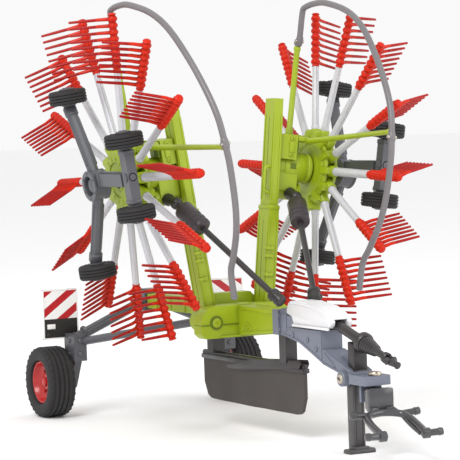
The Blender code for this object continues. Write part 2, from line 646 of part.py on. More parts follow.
def drawbar():
    rear = DRAW_REAR - 3.5 * MM
    deck, seat = COVER_BOTTOM - GAP, NUB_BOTTOM - GAP
    deep = plate([(rear + MM, 31.0 * MM), (-51.0 * MM, 29.1 * MM), (-56.7 * MM, 26.9 * MM),
                  (-64.3 * MM, 23.9 * MM), (-75.6 * MM, 21.6 * MM), (TONGUE_REAR - MM, TONGUE_BOTTOM),
                  (TONGUE_REAR - MM, 22.6 * MM), (-65.4 * MM, 28.1 * MM),
                  (DEEP_FRONT, 28.1 * MM), (DEEP_FRONT, deck), (COVER_REAR + GAP, deck),
                  (COVER_REAR + GAP, seat), (NUB_REAR + GAP, seat), (NUB_REAR + GAP, 38.6 * MM),
                  (-41.5 * MM, 38.7 * MM), (rear + MM, 37.6 * MM)],
                 "X", -DRAW_HALF, DRAW_HALF)
    back = box((-BACK_HALF, rear, 30.7 * MM), (BACK_HALF, DRAW_REAR, 38.0 * MM))
    corner = 0.9 * MM
    nose = arc((-TONGUE_HALF + corner, TONGUE_FRONT + corner), corner, 180, 270, 3)
    nose += arc((TONGUE_HALF - corner, TONGUE_FRONT + corner), corner, 270, 360, 3)
    tongue = plate(nose + [(TONGUE_HALF, TONGUE_REAR), (-TONGUE_HALF, TONGUE_REAR)], "Z",
                   TONGUE_BOTTOM, TONGUE_TOP)
    wall_front = HITCH_Y + FORK_EYE_R + GAP
    wall = box((-DRAW_HALF, wall_front, 15.0 * MM), (DRAW_HALF, wall_front + 0.9 * MM, 21.0 * MM))
    front, back_y = POST_Y
    room = INPUT_R + GAP
    post = plate([(front, 22.0 * MM), (back_y, 22.0 * MM), (back_y, shaft_height(back_y) - room),
                  (front, shaft_height(front) - room)], "X", -2.0 * MM, 2.0 * MM)
    gusset = plate([(-69.0 * MM, 26.0 * MM), (back_y - MM, 23.4 * MM), (back_y - MM, 29.2 * MM)], "X",
                   -0.8 * MM, 0.8 * MM)
    lug = rod((-TONGUE_HALF, *STAND_PIVOT), (TONGUE_HALF, *STAND_PIVOT), 2.2 * MM, sides=16)
    cuts = [rod((0, HITCH_Y, 12 * MM), (0, HITCH_Y, 25 * MM), HITCH_PIN_R + GAP, sides=16),
            rod((-8 * MM, *STAND_PIVOT), (8 * MM, *STAND_PIVOT), STAND_PIN_R + GAP, sides=12),
            box((-STAND_HALF - GAP, STAND_PIVOT[0] - STAND_EYE_R - 0.7 * MM, 10 * MM),
                (STAND_HALF + GAP, STAND_PIVOT[0] + STAND_EYE_R + 0.7 * MM, STAND_PIVOT[1] + STAND_EYE_R + 0.4 * MM))]
    finish(fuse([deep, back, tongue, wall, post, gusset, lug], cuts), "drawbar", BLUE_GREY, rake)


def gearbox_cover():
    outline = [(COVER_REAR, COVER_BOTTOM), (COVER_REAR, NUB_BOTTOM), (NUB_REAR, NUB_BOTTOM),
               (NUB_REAR, 38.0 * MM), (-44.7 * MM, 39.9 * MM), (-46.2 * MM, 41.0 * MM),
               (-61.0 * MM, 39.8 * MM), (-65.0 * MM, 38.9 * MM), (-68.4 * MM, 37.6 * MM),
               (-69.6 * MM, 36.3 * MM), (-69.4 * MM, 35.2 * MM), (-67.9 * MM, 34.0 * MM),
               (-67.0 * MM, COVER_BOTTOM)]
    body = plate(outline, "X", -COVER_HALF, COVER_HALF)
    arch = rod(shaft_point(DEEP_FRONT + GAP), shaft_point(-72 * MM), INPUT_R + GAP, sides=20)
    finish(fuse([body], [arch]), "gearbox_cover", WHITE, rake)


def shaft_height(y):
    """Height of the input shaft's axis."""
    return 26.0 * MM + 0.285 * (y + 99.2 * MM)


def shaft_point(y):
    return Vector((0, y, shaft_height(y)))


def input_shaft():
    pieces = [rod(shaft_point(DEEP_FRONT), shaft_point(-81.0 * MM), INPUT_R, sides=20),
              rod(shaft_point(-80.6 * MM), shaft_point(-82.6 * MM), 2.7 * MM, sides=20),
              rod(shaft_point(-82.0 * MM), shaft_point(-88.6 * MM), 2.3 * MM, 1.5 * MM, sides=16),
              rod(shaft_point(-88.0 * MM), shaft_point(-99.2 * MM), 0.9 * MM, sides=12),
              rod(shaft_point(-92.0 * MM), shaft_point(-96.4 * MM), 1.6 * MM, sides=12)]
    finish(fuse(pieces), "input_shaft", BLACK, rake)


def hitch():
    low, high = FORK_BLOCK_Z
    low, high = low - HITCH_Z, high - HITCH_Z
    half, front, eye = FORK_BLOCK_HALF, FORK_BLOCK_FRONT, FORK_EYE_R
    pieces = [rod((0, 0, low), (0, 0, high), eye, sides=20),
              plate([(-eye, 0), (-half, -1.6 * MM), (-half, -front), (half, -front), (half, -1.6 * MM), (eye, 0)],
                    "Z", low, high)]
    bar = 12.6 * MM - HITCH_Z
    for side in (-1, 1):
        path = [(0, -front - 0.4 * MM, bar), (side * 2.6 * MM, -5.0 * MM, bar - 0.1 * MM),
                (side * 5.0 * MM, -6.0 * MM, bar - 0.5 * MM), (side * 6.2 * MM, -8.2 * MM, bar - 1.3 * MM),
                (side * 6.5 * MM, -12.0 * MM, bar - 2.5 * MM), (side * 6.4 * MM, -18.4 * MM, bar - 4.4 * MM)]
        pieces.append(tube(path, FORK_TUBE_R, 2))
        tip = Vector((side * 6.4 * MM, -18.4 * MM, bar - 4.5 * MM))
        reach = Vector((side * 1.1 * MM, 0, 0))
        pieces.append(rod(tip - reach, tip + reach, 1.6 * MM, sides=16))
        pieces.append(rod(tip, tip + Vector((side * 5.0 * MM, 0, 0.2 * MM)), 0.95 * MM, sides=12))
        pieces.append(rod((side * 4.8 * MM, -6.0 * MM, bar - 0.4 * MM),
                          (side * 10.4 * MM, -6.0 * MM, bar + 0.1 * MM), 0.95 * MM, sides=12))
    hole = rod((0, 0, low - MM), (0, 0, high + MM), HITCH_PIN_R + GAP, sides=16)
    fork = finish(fuse(pieces, [hole]), "hitch_fork", GREY, rake, (0, HITCH_Y, HITCH_Z))
    fork.rotation_euler = (0, 0, HITCH_YAW)
    head = TONGUE_TOP + GAP - HITCH_Z
    pin = fuse([rod((0, 0, low - 0.4 * MM), (0, 0, head + 0.4 * MM), HITCH_PIN_R, sides=16),
                rod((0, 0, head), (0, 0, head + 0.9 * MM), 1.9 * MM, sides=20)])
    finish(pin, "hitch_pin", STEEL, rake, (0, HITCH_Y, HITCH_Z))


def stand():
    py, pz = STAND_PIVOT
    front, rear = STAND_LEG[0] - py, STAND_LEG[1] - py
    width, depth, thick = FOOT_SIZE
    middle = FOOT_Y - py
    pieces = [box((-STAND_HALF, front, 1.0 * MM - pz), (STAND_HALF, rear, -1.0 * MM)),
              rod((-STAND_HALF, 0, 0), (STAND_HALF, 0, 0), STAND_EYE_R, sides=16),
              box((-width / 2, middle - depth / 2, -pz), (width / 2, middle + depth / 2, thick - pz))]
    hole = rod((-8 * MM, 0, 0), (8 * MM, 0, 0), STAND_PIN_R + GAP, sides=12)
    finish(fuse(pieces, [hole]), "stand_leg", GREY, rake, (0, py, pz))
    reach = TONGUE_HALF + 0.5 * MM
    finish(rod((-reach, 0, 0), (reach, 0, 0), STAND_PIN_R, sides=12), "stand_pin", STEEL, rake, (0, py, pz))


# ---------------------------------------------------------------- drive shafts

def drive_shafts():
    for name, side in SIDES.items():
        foot = Vector((side * SHAFT_FOOT[0], SHAFT_FOOT[1], SHAFT_FOOT[2]))
        head = Vector((side * SHAFT_HEAD[0], SHAFT_HEAD[1], SHAFT_HEAD[2]))
        along = (head - foot).normalized()
        guard_start = (head - foot).length - GUARD_L
        inner = along * guard_start
        shaft = fuse([rod(along * 0.2 * MM, inner + along * ROD_IN_GUARD, ROD_R, sides=10),
                      rod(along * JOINT_L[0], along * JOINT_L[1], JOINT_R, sides=12)])
        finish(shaft, name + "_shaft_rod", BLACK, rake, foot)
        guard = fuse([rod(inner, inner + along * GUARD_L, GUARD_R, sides=16)],
                     [rod(inner - along * MM, inner + along * (GUARD_L - 1.2 * MM), ROD_R + GAP, sides=12)])
        finish(guard, name + "_shaft_guard", BLACK, rake, foot)


# ---------------------------------------------------------------- swath curtain

def curtain():
    corner = 6.0 * MM
    outline = [(CURTAIN_REAR, CURTAIN_TOP), (CURTAIN_FRONT, CURTAIN_TOP)]
    outline += arc((CURTAIN_FRONT + corner, CURTAIN_BOTTOM + corner), corner, 180, 270, 5)
    outline += arc((CURTAIN_REAR - corner, CURTAIN_BOTTOM + corner), corner, 270, 345, 5)
    sheet = plate(outline, "X", -CURTAIN_T / 2, CURTAIN_T / 2)
    rail = box((-CURTAIN_T / 2 - 0.5 * MM, CURTAIN_FRONT - 0.6 * MM, CURTAIN_TOP - 1.6 * MM),
               (CURTAIN_T / 2 + 0.5 * MM, CURTAIN_REAR + 0.6 * MM, CURTAIN_TOP + 0.4 * MM))
    finish(fuse([sheet, rail]), "swath_curtain", BLACK, rake)
    top = CURTAIN_TOP + 0.4 * MM + GAP
    rear_post = box((-2.0 * MM, 6.4 * MM, top), (2.0 * MM, 10.4 * MM, FRAME_BOTTOM))
    finish(rear_post, "curtain_rear_post", BLACK, rake)
    front_post = box((-1.9 * MM, -39.8 * MM, top), (1.9 * MM, -35.8 * MM, 30.4 * MM))
    finish(front_post, "curtain_front_post", BLACK, rake)


main_frame()
fold_pins()
rear_axle()
rear_wheels()
warning_panels()
rotors()
drawbar()
gearbox_cover()
input_shaft()
hitch()
stand()
drive_shafts()
curtain()
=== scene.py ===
"""Looks of the toy twin-rotor hay rake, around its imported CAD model.

Shapes are drawn in millimetres from the rotor axes, the ground and the middle of the width,
and make() turns them into metres in the model's own frame.
"""
import json
import math

import bmesh
import bpy
from mathutils import Matrix, Vector


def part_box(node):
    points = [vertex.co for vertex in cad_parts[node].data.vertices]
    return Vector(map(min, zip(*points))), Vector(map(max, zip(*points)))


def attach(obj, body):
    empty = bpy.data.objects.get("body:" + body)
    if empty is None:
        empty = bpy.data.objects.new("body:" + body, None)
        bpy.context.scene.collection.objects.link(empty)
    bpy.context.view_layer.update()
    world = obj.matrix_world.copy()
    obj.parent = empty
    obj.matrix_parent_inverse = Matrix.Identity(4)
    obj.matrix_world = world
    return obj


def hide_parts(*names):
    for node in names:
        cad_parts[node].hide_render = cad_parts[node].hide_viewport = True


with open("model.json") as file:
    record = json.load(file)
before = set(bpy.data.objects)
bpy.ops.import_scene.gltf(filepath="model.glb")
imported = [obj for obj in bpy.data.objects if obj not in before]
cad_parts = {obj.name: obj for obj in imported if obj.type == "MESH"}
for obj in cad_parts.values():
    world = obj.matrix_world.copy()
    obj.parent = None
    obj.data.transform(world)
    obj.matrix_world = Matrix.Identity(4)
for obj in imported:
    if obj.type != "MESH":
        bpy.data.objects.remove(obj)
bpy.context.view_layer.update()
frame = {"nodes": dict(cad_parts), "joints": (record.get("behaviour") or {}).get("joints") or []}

MM = 0.001
SIDES = {"left": 1, "right": -1}
JOINTS = {joint["name"]: joint for joint in frame["joints"]}
SHIFT = JOINTS["left_rotor_spin"]["pos_m"][1]
LEAN = math.asin(-JOINTS["left_rotor_spin"]["axis"][2])
ROTOR_X = JOINTS["left_rotor_spin"]["pos_m"][0] / MM
ROTOR_Z = JOINTS["left_rotor_spin"]["pos_m"][2] / MM
BOOM_LEAN = {"left": math.radians(5.5), "right": math.radians(9.1)}
BOOM_IN = {"left": 0.0, "right": 1.6}

# Arms and tines, from the rotor's axis; the phase is the first arm's turn from straight up, in degrees
ARM_COUNT = 14
ARM_PHASE = {"left": -10.8, "right": 10.5}
TINE_COUNT = 8
TINES_FROM, TINES_TO = 34.6, 48.6
RAKE_END = 50.0

# Bogies and drive shafts, from the rotor's middle plane; the shaft's head is from the middle of the width
BOGIE_OUT = 9.8
BEAM_FRONT, BEAM_UP = 24.0, 2.6
SHAFT_HEAD = (20.3, -8.6, 69.2)
GUARD_LENGTH = 12.6
STUB = (-10.2, -1.0, -7.6)

# Textures: noise scale per metre, then metres and shares
BROAD_SCALE = 70.0
# Reach of the painted corner shade, in metres
CORNER_SHADE_REACH = 0.0018
STRIPE_ACROSS, STRIPE_UP, STRIPE_START = 0.0088, 0.00635, 0.083
WHITE_SHARE = 0.56
STRIPES_FROM = 0.0314

# Camera, in metres from the rotor axes and the ground
CAMERA_PLACE = (-0.3444, -0.6660, 0.0964)
CAMERA_BACK = (-0.4607, -0.8862, 0.0486)
CAMERA_RIGHT = (0.886, -0.4624, -0.0329)
FOCAL_PIXELS = 2461
IMAGE_PIXELS = 460
SENSOR_MM = 36.0


def place_of(joint):
    """A joint's place in millimetres from the rotor axes."""
    x, y, z = JOINTS[joint]["pos_m"]
    return Vector((x, y - SHIFT, z)) / MM


# ---------------------------------------------------------------- looks

def linear(red, green, blue):
    return tuple(((v / 255 + 0.055) / 1.055) ** 2.4 for v in (red, green, blue))


def look(name, color, rough, grain=1500.0, bump=0.12, vary=0.1, corner_shade=0.35, metal=0.0, coat=0.0, glow=0.0,
         shine=0.5):
    """A moulded or painted surface: uneven tone, painted shade darkening its corners, fine grain."""
    mat = bpy.data.materials.new(name)
    mat.use_nodes = True
    nodes, links = mat.node_tree.nodes, mat.node_tree.links
    shader = nodes["Principled BSDF"]
    shader.inputs["Metallic"].default_value = metal
    shader.inputs["Coat Weight"].default_value = coat
    shader.inputs["Coat Roughness"].default_value = 0.15
    shader.inputs["Specular IOR Level"].default_value = shine
    if glow:
        shader.inputs["Subsurface Weight"].default_value = glow
        shader.inputs["Subsurface Radius"].default_value = (0.002, 0.002, 0.002)
        shader.inputs["Subsurface Scale"].default_value = 0.5
    where = nodes.new("ShaderNodeTexCoord")
    broad = nodes.new("ShaderNodeTexNoise")
    broad.inputs["Scale"].default_value = BROAD_SCALE
    broad.inputs["Detail"].default_value = 4.0
    fine = nodes.new("ShaderNodeTexNoise")
    fine.inputs["Scale"].default_value = grain
    fine.inputs["Detail"].default_value = 3.0
    for noise in (broad, fine):
        links.new(where.outputs["Object"], noise.inputs["Vector"])
    tone = nodes.new("ShaderNodeMix")
    tone.data_type = "RGBA"
    tone.inputs["A"].default_value = (*color, 1.0)
    tone.inputs["B"].default_value = (*[c * (1.0 - 2.0 * vary) for c in color], 1.0)
    links.new(broad.outputs["Fac"], tone.inputs["Factor"])
    # Painted shade: ambient occlusion darkens corners and recesses, down to three tenths of the colour at the
    # deepest
    corner = nodes.new("ShaderNodeAmbientOcclusion")
    corner.samples = 4
    corner.inputs["Distance"].default_value = CORNER_SHADE_REACH
    depth = nodes.new("ShaderNodeMapRange")
    depth.inputs["From Min"].default_value = 0.35
    depth.inputs["From Max"].default_value = 0.95
    depth.inputs["To Min"].default_value = corner_shade
    depth.inputs["To Max"].default_value = 0.0
    links.new(corner.outputs["AO"], depth.inputs["Value"])
    shaded_tone = nodes.new("ShaderNodeMix")
    shaded_tone.data_type = "RGBA"
    shaded_tone.inputs["B"].default_value = (*[c * 0.3 for c in color], 1.0)
    links.new(depth.outputs["Result"], shaded_tone.inputs["Factor"])
    links.new(tone.outputs["Result"], shaded_tone.inputs["A"])
    links.new(shaded_tone.outputs["Result"], shader.inputs["Base Color"])
    gloss = nodes.new("ShaderNodeMapRange")
    gloss.inputs["To Min"].default_value = max(0.05, rough - 0.09)
    gloss.inputs["To Max"].default_value = min(1.0, rough + 0.12)
    links.new(broad.outputs["Fac"], gloss.inputs["Value"])
    links.new(gloss.outputs["Result"], shader.inputs["Roughness"])
    relief = nodes.new("ShaderNodeBump")
    relief.inputs["Strength"].default_value = bump
    relief.inputs["Distance"].default_value = 0.0001
    links.new(fine.outputs["Fac"], relief.inputs["Height"])
    links.new(relief.outputs["Normal"], shader.inputs["Normal"])
    return mat


# look() gives each material painted shade in its corners, stronger where a larger amount is given
LIME = look("lime_enamel", linear(164, 184, 26), 0.4, corner_shade=0.5)
# Painted shade: a darker lime for flat strips laid where slots, grooves and gaps are in shade
LIME_SHADE = look("lime_shadow_line", linear(104, 122, 20), 0.6)
RAKE_RED = look("rake_red", linear(206, 36, 6), 0.36, vary=0.07, corner_shade=0.85, shine=0.22)
TINE_RED = look("tine_red", linear(168, 18, 10), 0.38, vary=0.08, shine=0.25)
ARM_WHITE = look("arm_white", linear(202, 202, 206), 0.28, vary=0.06, corner_shade=0.5, glow=0.2)
BLUE_GREY = look("blue_grey_enamel", linear(118, 123, 138), 0.42)
GREY = look("fitting_grey", linear(88, 89, 94), 0.36)
DARK_GREY = look("leg_grey", linear(76, 74, 74), 0.38)
HOOP_GREY = look("hoop_grey", linear(118, 114, 116), 0.32)
FORK_GREY = look("fork_grey", linear(60, 59, 62), 0.2, coat=0.6)
BLACK = look("moulded_black", linear(44, 40, 41), 0.38, coat=0.2)
CURTAIN = look("curtain_rubber", linear(64, 58, 55), 0.5, grain=700.0, bump=0.3)
RUBBER = look("tyre_rubber", linear(38, 36, 37), 0.72, grain=900.0, bump=0.4)
RIM_RED = look("rim_red", linear(184, 20, 18), 0.3, coat=0.3)
WHITE = look("cover_white", linear(228, 228, 230), 0.34, vary=0.03, corner_shade=0.5)
STEEL = look("bright_steel", linear(190, 184, 172), 0.3, metal=1.0, vary=0.08)
COPPER = look("screw_steel", linear(206, 196, 180), 0.28, metal=1.0, vary=0.1)
PURPLE_BLACK = look("guard_black", linear(56, 47, 52), 0.4, coat=0.2)
REFLECTOR = look("reflector", linear(238, 238, 235), 0.25, vary=0.03)


def warning_look():
    """Red and white stripes over a black lower part, mirrored between the two panels."""
    # Painted shade darkens the panel's corners lightly as well
    mat = look("warning_stripes", linear(240, 240, 240), 0.35, vary=0.03, corner_shade=0.2)
    nodes, links = mat.node_tree.nodes, mat.node_tree.links
    shader = nodes["Principled BSDF"]
    plain = shader.inputs["Base Color"].links[0].from_socket
    where = nodes.new("ShaderNodeTexCoord")
    split = nodes.new("ShaderNodeSeparateXYZ")
    links.new(where.outputs["Object"], split.inputs["Vector"])
    away = nodes.new("ShaderNodeMath")
    away.operation = "ABSOLUTE"
    links.new(split.outputs["X"], away.inputs[0])
    steps = []
    for source, pitch, start in ((away.outputs["Value"], STRIPE_ACROSS, STRIPE_START),
                                 (split.outputs["Z"], STRIPE_UP, 0.0)):
        step = nodes.new("ShaderNodeMath")
        step.operation = "MULTIPLY_ADD"
        step.inputs[1].default_value = -1.0 / pitch
        step.inputs[2].default_value = start
        links.new(source, step.inputs[0])
        steps.append(step)
    both = nodes.new("ShaderNodeMath")
    both.operation = "ADD"
    for socket, step in zip(both.inputs, steps):
        links.new(step.outputs["Value"], socket)
    part = nodes.new("ShaderNodeMath")
    part.operation = "FRACT"
    links.new(both.outputs["Value"], part.inputs[0])
    band = nodes.new("ShaderNodeMath")
    band.operation = "GREATER_THAN"
    band.inputs[1].default_value = WHITE_SHARE
    links.new(part.outputs["Value"], band.inputs[0])
    striped = nodes.new("ShaderNodeMix")
    striped.data_type = "RGBA"
    striped.inputs["B"].default_value = (*linear(178, 14, 28), 1.0)
    links.new(band.outputs["Value"], striped.inputs["Factor"])
    links.new(plain, striped.inputs["A"])
    below = nodes.new("ShaderNodeMath")
    below.operation = "LESS_THAN"
    below.inputs[1].default_value = STRIPES_FROM
    links.new(split.outputs["Z"], below.inputs[0])
    whole = nodes.new("ShaderNodeMix")
    whole.data_type = "RGBA"
    whole.inputs["B"].default_value = (*linear(34, 31, 32), 1.0)
    links.new(below.outputs["Value"], whole.inputs["Factor"])
    links.new(striped.outputs["Result"], whole.inputs["A"])
    links.new(whole.outputs["Result"], shader.inputs["Base Color"])
    return mat


# ---------------------------------------------------------------- shapes, in millimetres

def tube(bm, path, radius, sides=10, round_ends=True):
    """A tube along a path; radius is one value or one for each point."""
    points = [Vector(p) for p in path]
    radii = [radius] * len(points) if isinstance(radius, (int, float)) else list(radius)
    if round_ends:
        for end, inner in ((0, 1), (-1, -2)):
            back = (points[end] - points[inner]).normalized()
            r = radii[end]
            caps = [(points[end] - back * r * 0.3, r * 0.93), (points[end], r * 0.45)]
            if (points[end] - points[inner]).length < r * 0.5:
                continue
            if end == 0:
                points[0:1] = [caps[1][0], caps[0][0]]
                radii[0:1] = [caps[1][1], caps[0][1]]
            else:
                points[-1:] = [caps[0][0], caps[1][0]]
                radii[-1:] = [caps[0][1], caps[1][1]]
    rings = []
    across = None
    for index, point in enumerate(points):
        ahead = (points[min(index + 1, len(points) - 1)] - points[max(index - 1, 0)]).normalized()
        across = ahead.orthogonal() if across is None else across
        across = (across - ahead * across.dot(ahead)).normalized()
        other = ahead.cross(across)
        turns = [2 * math.pi * k / sides for k in range(sides)]
        rings.append([bm.verts.new(point + (across * math.cos(t) + other * math.sin(t)) * radii[index])
                      for t in turns])
    skin(bm, rings)


def skin(bm, rings, closed=False):
    """Faces between rings of as many points, with the ends closed unless the rings meet."""
    pairs = list(zip(rings, rings[1:]))
    if closed:
        pairs.append((rings[-1], rings[0]))
    for one, two in pairs:
        for k in range(len(one)):
            bm.faces.new((one[k], one[k - 1], two[k - 1], two[k]))
    if not closed:
        bm.faces.new(rings[0])
        bm.faces.new(rings[-1])


def lathe(bm, start, along, profile, sides=32, closed=False):
    """A turned shape about the line from start, from (distance, radius) pairs."""
    start, along = Vector(start), Vector(along).normalized()
    across = along.orthogonal().normalized()
    other = along.cross(across)
    rings = []
    for distance, radius in profile:
        ring = []
        for k in range(sides):
            t = 2 * math.pi * k / sides
            spoke = across * math.cos(t) + other * math.sin(t)
            ring.append(bm.verts.new(start + along * distance + spoke * max(radius, 0.01)))
        rings.append(ring)
    skin(bm, rings, closed)


def block(bm, low, high, bevel=0.3, turn=None):
    """A box with rounded edges between two corners, turned about its own middle."""
    low, high = Vector(low), Vector(high)
    size = [abs(b - a) for a, b in zip(low, high)]
    place = Matrix.Translation((low + high) / 2) @ (turn or Matrix()) @ Matrix.Diagonal((*size, 1.0))
    made = bmesh.ops.create_cube(bm, size=1.0, matrix=place)
    soften(bm, made["verts"], min(bevel, min(size) * 0.45))


def soften(bm, verts, bevel, segments=2):
    edges = list({edge for vert in verts for edge in vert.link_edges})
    bmesh.ops.bevel(bm, geom=edges, offset=bevel, segments=segments, profile=0.5, affect="EDGES",
                    clamp_overlap=True)


def slab(bm, outline, low, high, bevel=0.3):
    """An outline of (y, z) between two places along X, with rounded edges."""
    sheets = [[bm.verts.new((x, y, z)) for y, z in outline] for x in (low, high)]
    skin(bm, sheets)
    soften(bm, sheets[0] + sheets[1], bevel)


def curved(points, steps=6):
    """A smooth path through points."""
    points = [Vector(p) for p in points]
    ends = [points[0] * 2 - points[1]] + points + [points[-1] * 2 - points[-2]]
    path = []
    for a, b, c, d in zip(ends, ends[1:], ends[2:], ends[3:]):
        for step in range(steps):
            t = step / steps
            path.append(0.5 * (2 * b + (c - a) * t + (2 * a - 5 * b + 4 * c - d) * t * t
                               + (3 * b - a - 3 * c + d) * t ** 3))
    return path + [points[-1]]


def make(name, bm, mat, body, replaces=(), turn=None, angle=38):
    """Finish a piece: turn it into place, into metres, smooth it, and let it ride on its body."""
    if turn is not None:
        bmesh.ops.transform(bm, matrix=turn, verts=bm.verts)
    bmesh.ops.recalc_face_normals(bm, faces=bm.faces)
    for vert in bm.verts:
        vert.co = vert.co * MM + Vector((0, SHIFT, 0))
    mesh = bpy.data.meshes.new(name)
    bm.to_mesh(mesh)
    bm.free()
    mesh.shade_smooth()
    mesh.set_sharp_from_angle(angle=math.radians(angle))
    mesh.materials.append(mat)
    obj = bpy.data.objects.new(name, mesh)
    bpy.context.scene.collection.objects.link(obj)
    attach(obj, body)
    if replaces:
        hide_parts(*replaces)
    return obj


def rotor_turn(side):
    return Matrix.Translation((side * ROTOR_X, 0, ROTOR_Z)) @ Matrix.Rotation(side * LEAN, 4, "Y")


def boom_turn(name, side):
    pin = place_of(name + "_fold")
    return Matrix.Translation(pin) @ Matrix.Rotation(side * BOOM_LEAN[name], 4, "Y")


# ---------------------------------------------------------------- rotors

def rake_ways(name, side):
    """For each arm: the way out along it, the way its tines trail, and the way they point."""
    for index in range(ARM_COUNT):
        turn = math.radians(ARM_PHASE[name] + 360.0 * index / ARM_COUNT)
        radial = Vector((0, -math.sin(turn), math.cos(turn)))
        back = Vector((0, math.cos(turn), math.sin(turn)))
        yield radial, back, Vector((side, 0, 0))


def rotor_arms(name, side):
    bm = bmesh.new()
    for radial, back, _ in rake_ways(name, side):
        tube(bm, [radial * 8.0, radial * 14.0, radial * 14.3, radial * 34.6], [1.3, 1.3, 1.15, 1.1], 12)
        for way in (-1, 1):
            tube(bm, [radial * 14.6 + back * way * 1.12, radial * 33.0 + back * way * 1.08], 0.22, 6)
    make(name + "_arm_tubes", bm, ARM_WHITE, name + "_rotor",
         [name + "_tine_arms"], rotor_turn(side))


def rotor_rakes(name, side):
    spines, tips = bmesh.new(), bmesh.new()
    for radial, back, out in rake_ways(name, side):
        pitch = (TINES_TO - TINES_FROM) / (TINE_COUNT - 1)
        profile = [(32.9, 0.8), (33.1, 1.2)]
        steps = 40
        for step in range(steps + 1):
            reach = 33.3 + (RAKE_END - 33.3) * step / steps
            swell = 0.5 + 0.5 * math.cos(2 * math.pi * (reach - TINES_FROM) / pitch)
            profile.append((reach, 0.95 + 0.6 * swell ** 0.6))
        profile += [(RAKE_END + 0.25, 1.0), (RAKE_END + 0.35, 0.4)]
        lathe(spines, (0, 0, 0), radial, profile, 12)
        for tine in range(TINE_COUNT):
            start = radial * (TINES_FROM + pitch * tine)
            bend = start + out * 3.4 + back * 1.6
            tip = start + out * 11.9 + back * 5.0
            root = start + out * 0.8 + back * 0.2
            corner = bend + (tip - bend) * 0.16
            tube(spines, curved([root, start + out * 2.2 + back * 0.9, bend, corner], 3),
                 [0.58 - 0.012 * k for k in range(10)], 8)
            tube(tips, [bend, corner, (corner + tip) / 2, tip], [0.44, 0.47, 0.44, 0.38], 8)
    make(name + "_rake_spines", spines, RAKE_RED, name + "_rotor", (), rotor_turn(side))
    make(name + "_tine_tips", tips, TINE_RED, name + "_rotor", (), rotor_turn(side))


def rotor_head(name, side):
    bm = bmesh.new()
    inner = [(-3.0, 2.4), (-3.0, 5.2), (-2.8, 5.5), (-2.8, 7.6), (-3.05, 7.8), (-3.05, 9.0), (-2.7, 9.2),
             (-2.7, 10.3), (-2.5, 10.6), (-2.2, 10.7), (-1.7, 10.7), (-1.5, 10.5), (-1.5, 7.1)]
    outer = [(1.5, 7.1), (1.5, 8.6), (1.7, 8.9), (2.5, 8.9), (2.8, 8.7), (2.8, 7.6), (3.05, 7.4), (3.05, 5.4),
             (2.7, 5.2), (2.7, 3.3), (3.0, 3.1), (3.0, 2.4)]
    lathe(bm, (0, 0, 0), (side, 0, 0), inner + outer, 56, closed=True)
    for radial, _, out in rake_ways(name, side):
        tube(bm, [radial * 7.3, radial * 12.5, radial * 12.8], [1.75, 1.75, 1.55], 12, round_ends=False)
        clamp = radial * 10.4 - out * 2.1
        tube(bm, [clamp - radial * 2.0, clamp + radial * 1.7, clamp + radial * 2.0], [1.5, 1.5, 1.2], 4,
             round_ends=False)
        lathe(bm, radial * 10.4 - out * 2.4, -out, [(0, 0.9), (0.55, 0.9), (0.7, 0.75), (0.72, 0.1)], 12)
        tube(bm, [radial * 5.8 + out * 3.0, radial * 7.2 + out * 3.0], 0.28, 6)
    make(name + "_head", bm, LIME, name + "_rotor", [name + "_rotor_head"], rotor_turn(side))


# ---------------------------------------------------------------- gearboxes, booms and hoops

def gearbox_details(name, side):
    bm, dark = bmesh.new(), bmesh.new()
    lathe(bm, (0, 0, 0), (side, 0, 0),
          [(-13.2, 3.9), (-13.1, 4.5), (-12.8, 4.7), (-5.9, 4.7), (-5.6, 4.5), (-5.5, 4.3), (-5.0, 4.3),
           (-4.9, 4.6), (-4.6, 4.8), (-3.7, 4.8), (-3.6, 4.2)], 48)
    lathe(bm, (side * -7.0, -1.0, -7.6), (side, 0, 0),
          [(-0.4, 2.4), (-0.3, 2.9), (0.2, 2.9), (0.35, 2.6), (0.4, 1.6), (0.1, 1.4), (0.1, 0.2)], 28)
    for front, up in ((4.4, 8.4), (-1.4, 8.4), (4.4, 3.4)):
        lathe(bm, (side * -12.2, -front, up), (0, -1, 0) if front > 0 else (0, 1, 0),
              [(0, 0.75), (1.45, 0.75), (1.6, 0.55), (1.6, 0.3), (1.35, 0.25), (1.35, 0.05)], 12)
    block(bm, (side * -13.0, -5.9, 4.2), (side * -11.2, -5.3, 7.6), 0.15)
    # Flat darker-lime strips: painted shade of the gearbox slots
    block(dark, (side * -11.6, -4.72, -0.8), (side * -9.4, -4.3, 1.0), 0.1)
    block(dark, (side * -9.9, -4.9, 4.6), (side * -9.3, -2.0, 8.4), 0.1)
    make(name + "_gearbox_ribs", bm, LIME, name + "_boom", (), rotor_turn(side))
    make(name + "_gearbox_slot_shade", dark, LIME_SHADE, name + "_boom", (), rotor_turn(side))


def shaft_line(name, side):
    """The drive shaft's foot, its head, and the way from one to the other."""
    foot = place_of(name + "_shaft_swing")
    head = Vector((side * SHAFT_HEAD[0], SHAFT_HEAD[1], SHAFT_HEAD[2]))
    return foot, head, (head - foot).normalized()


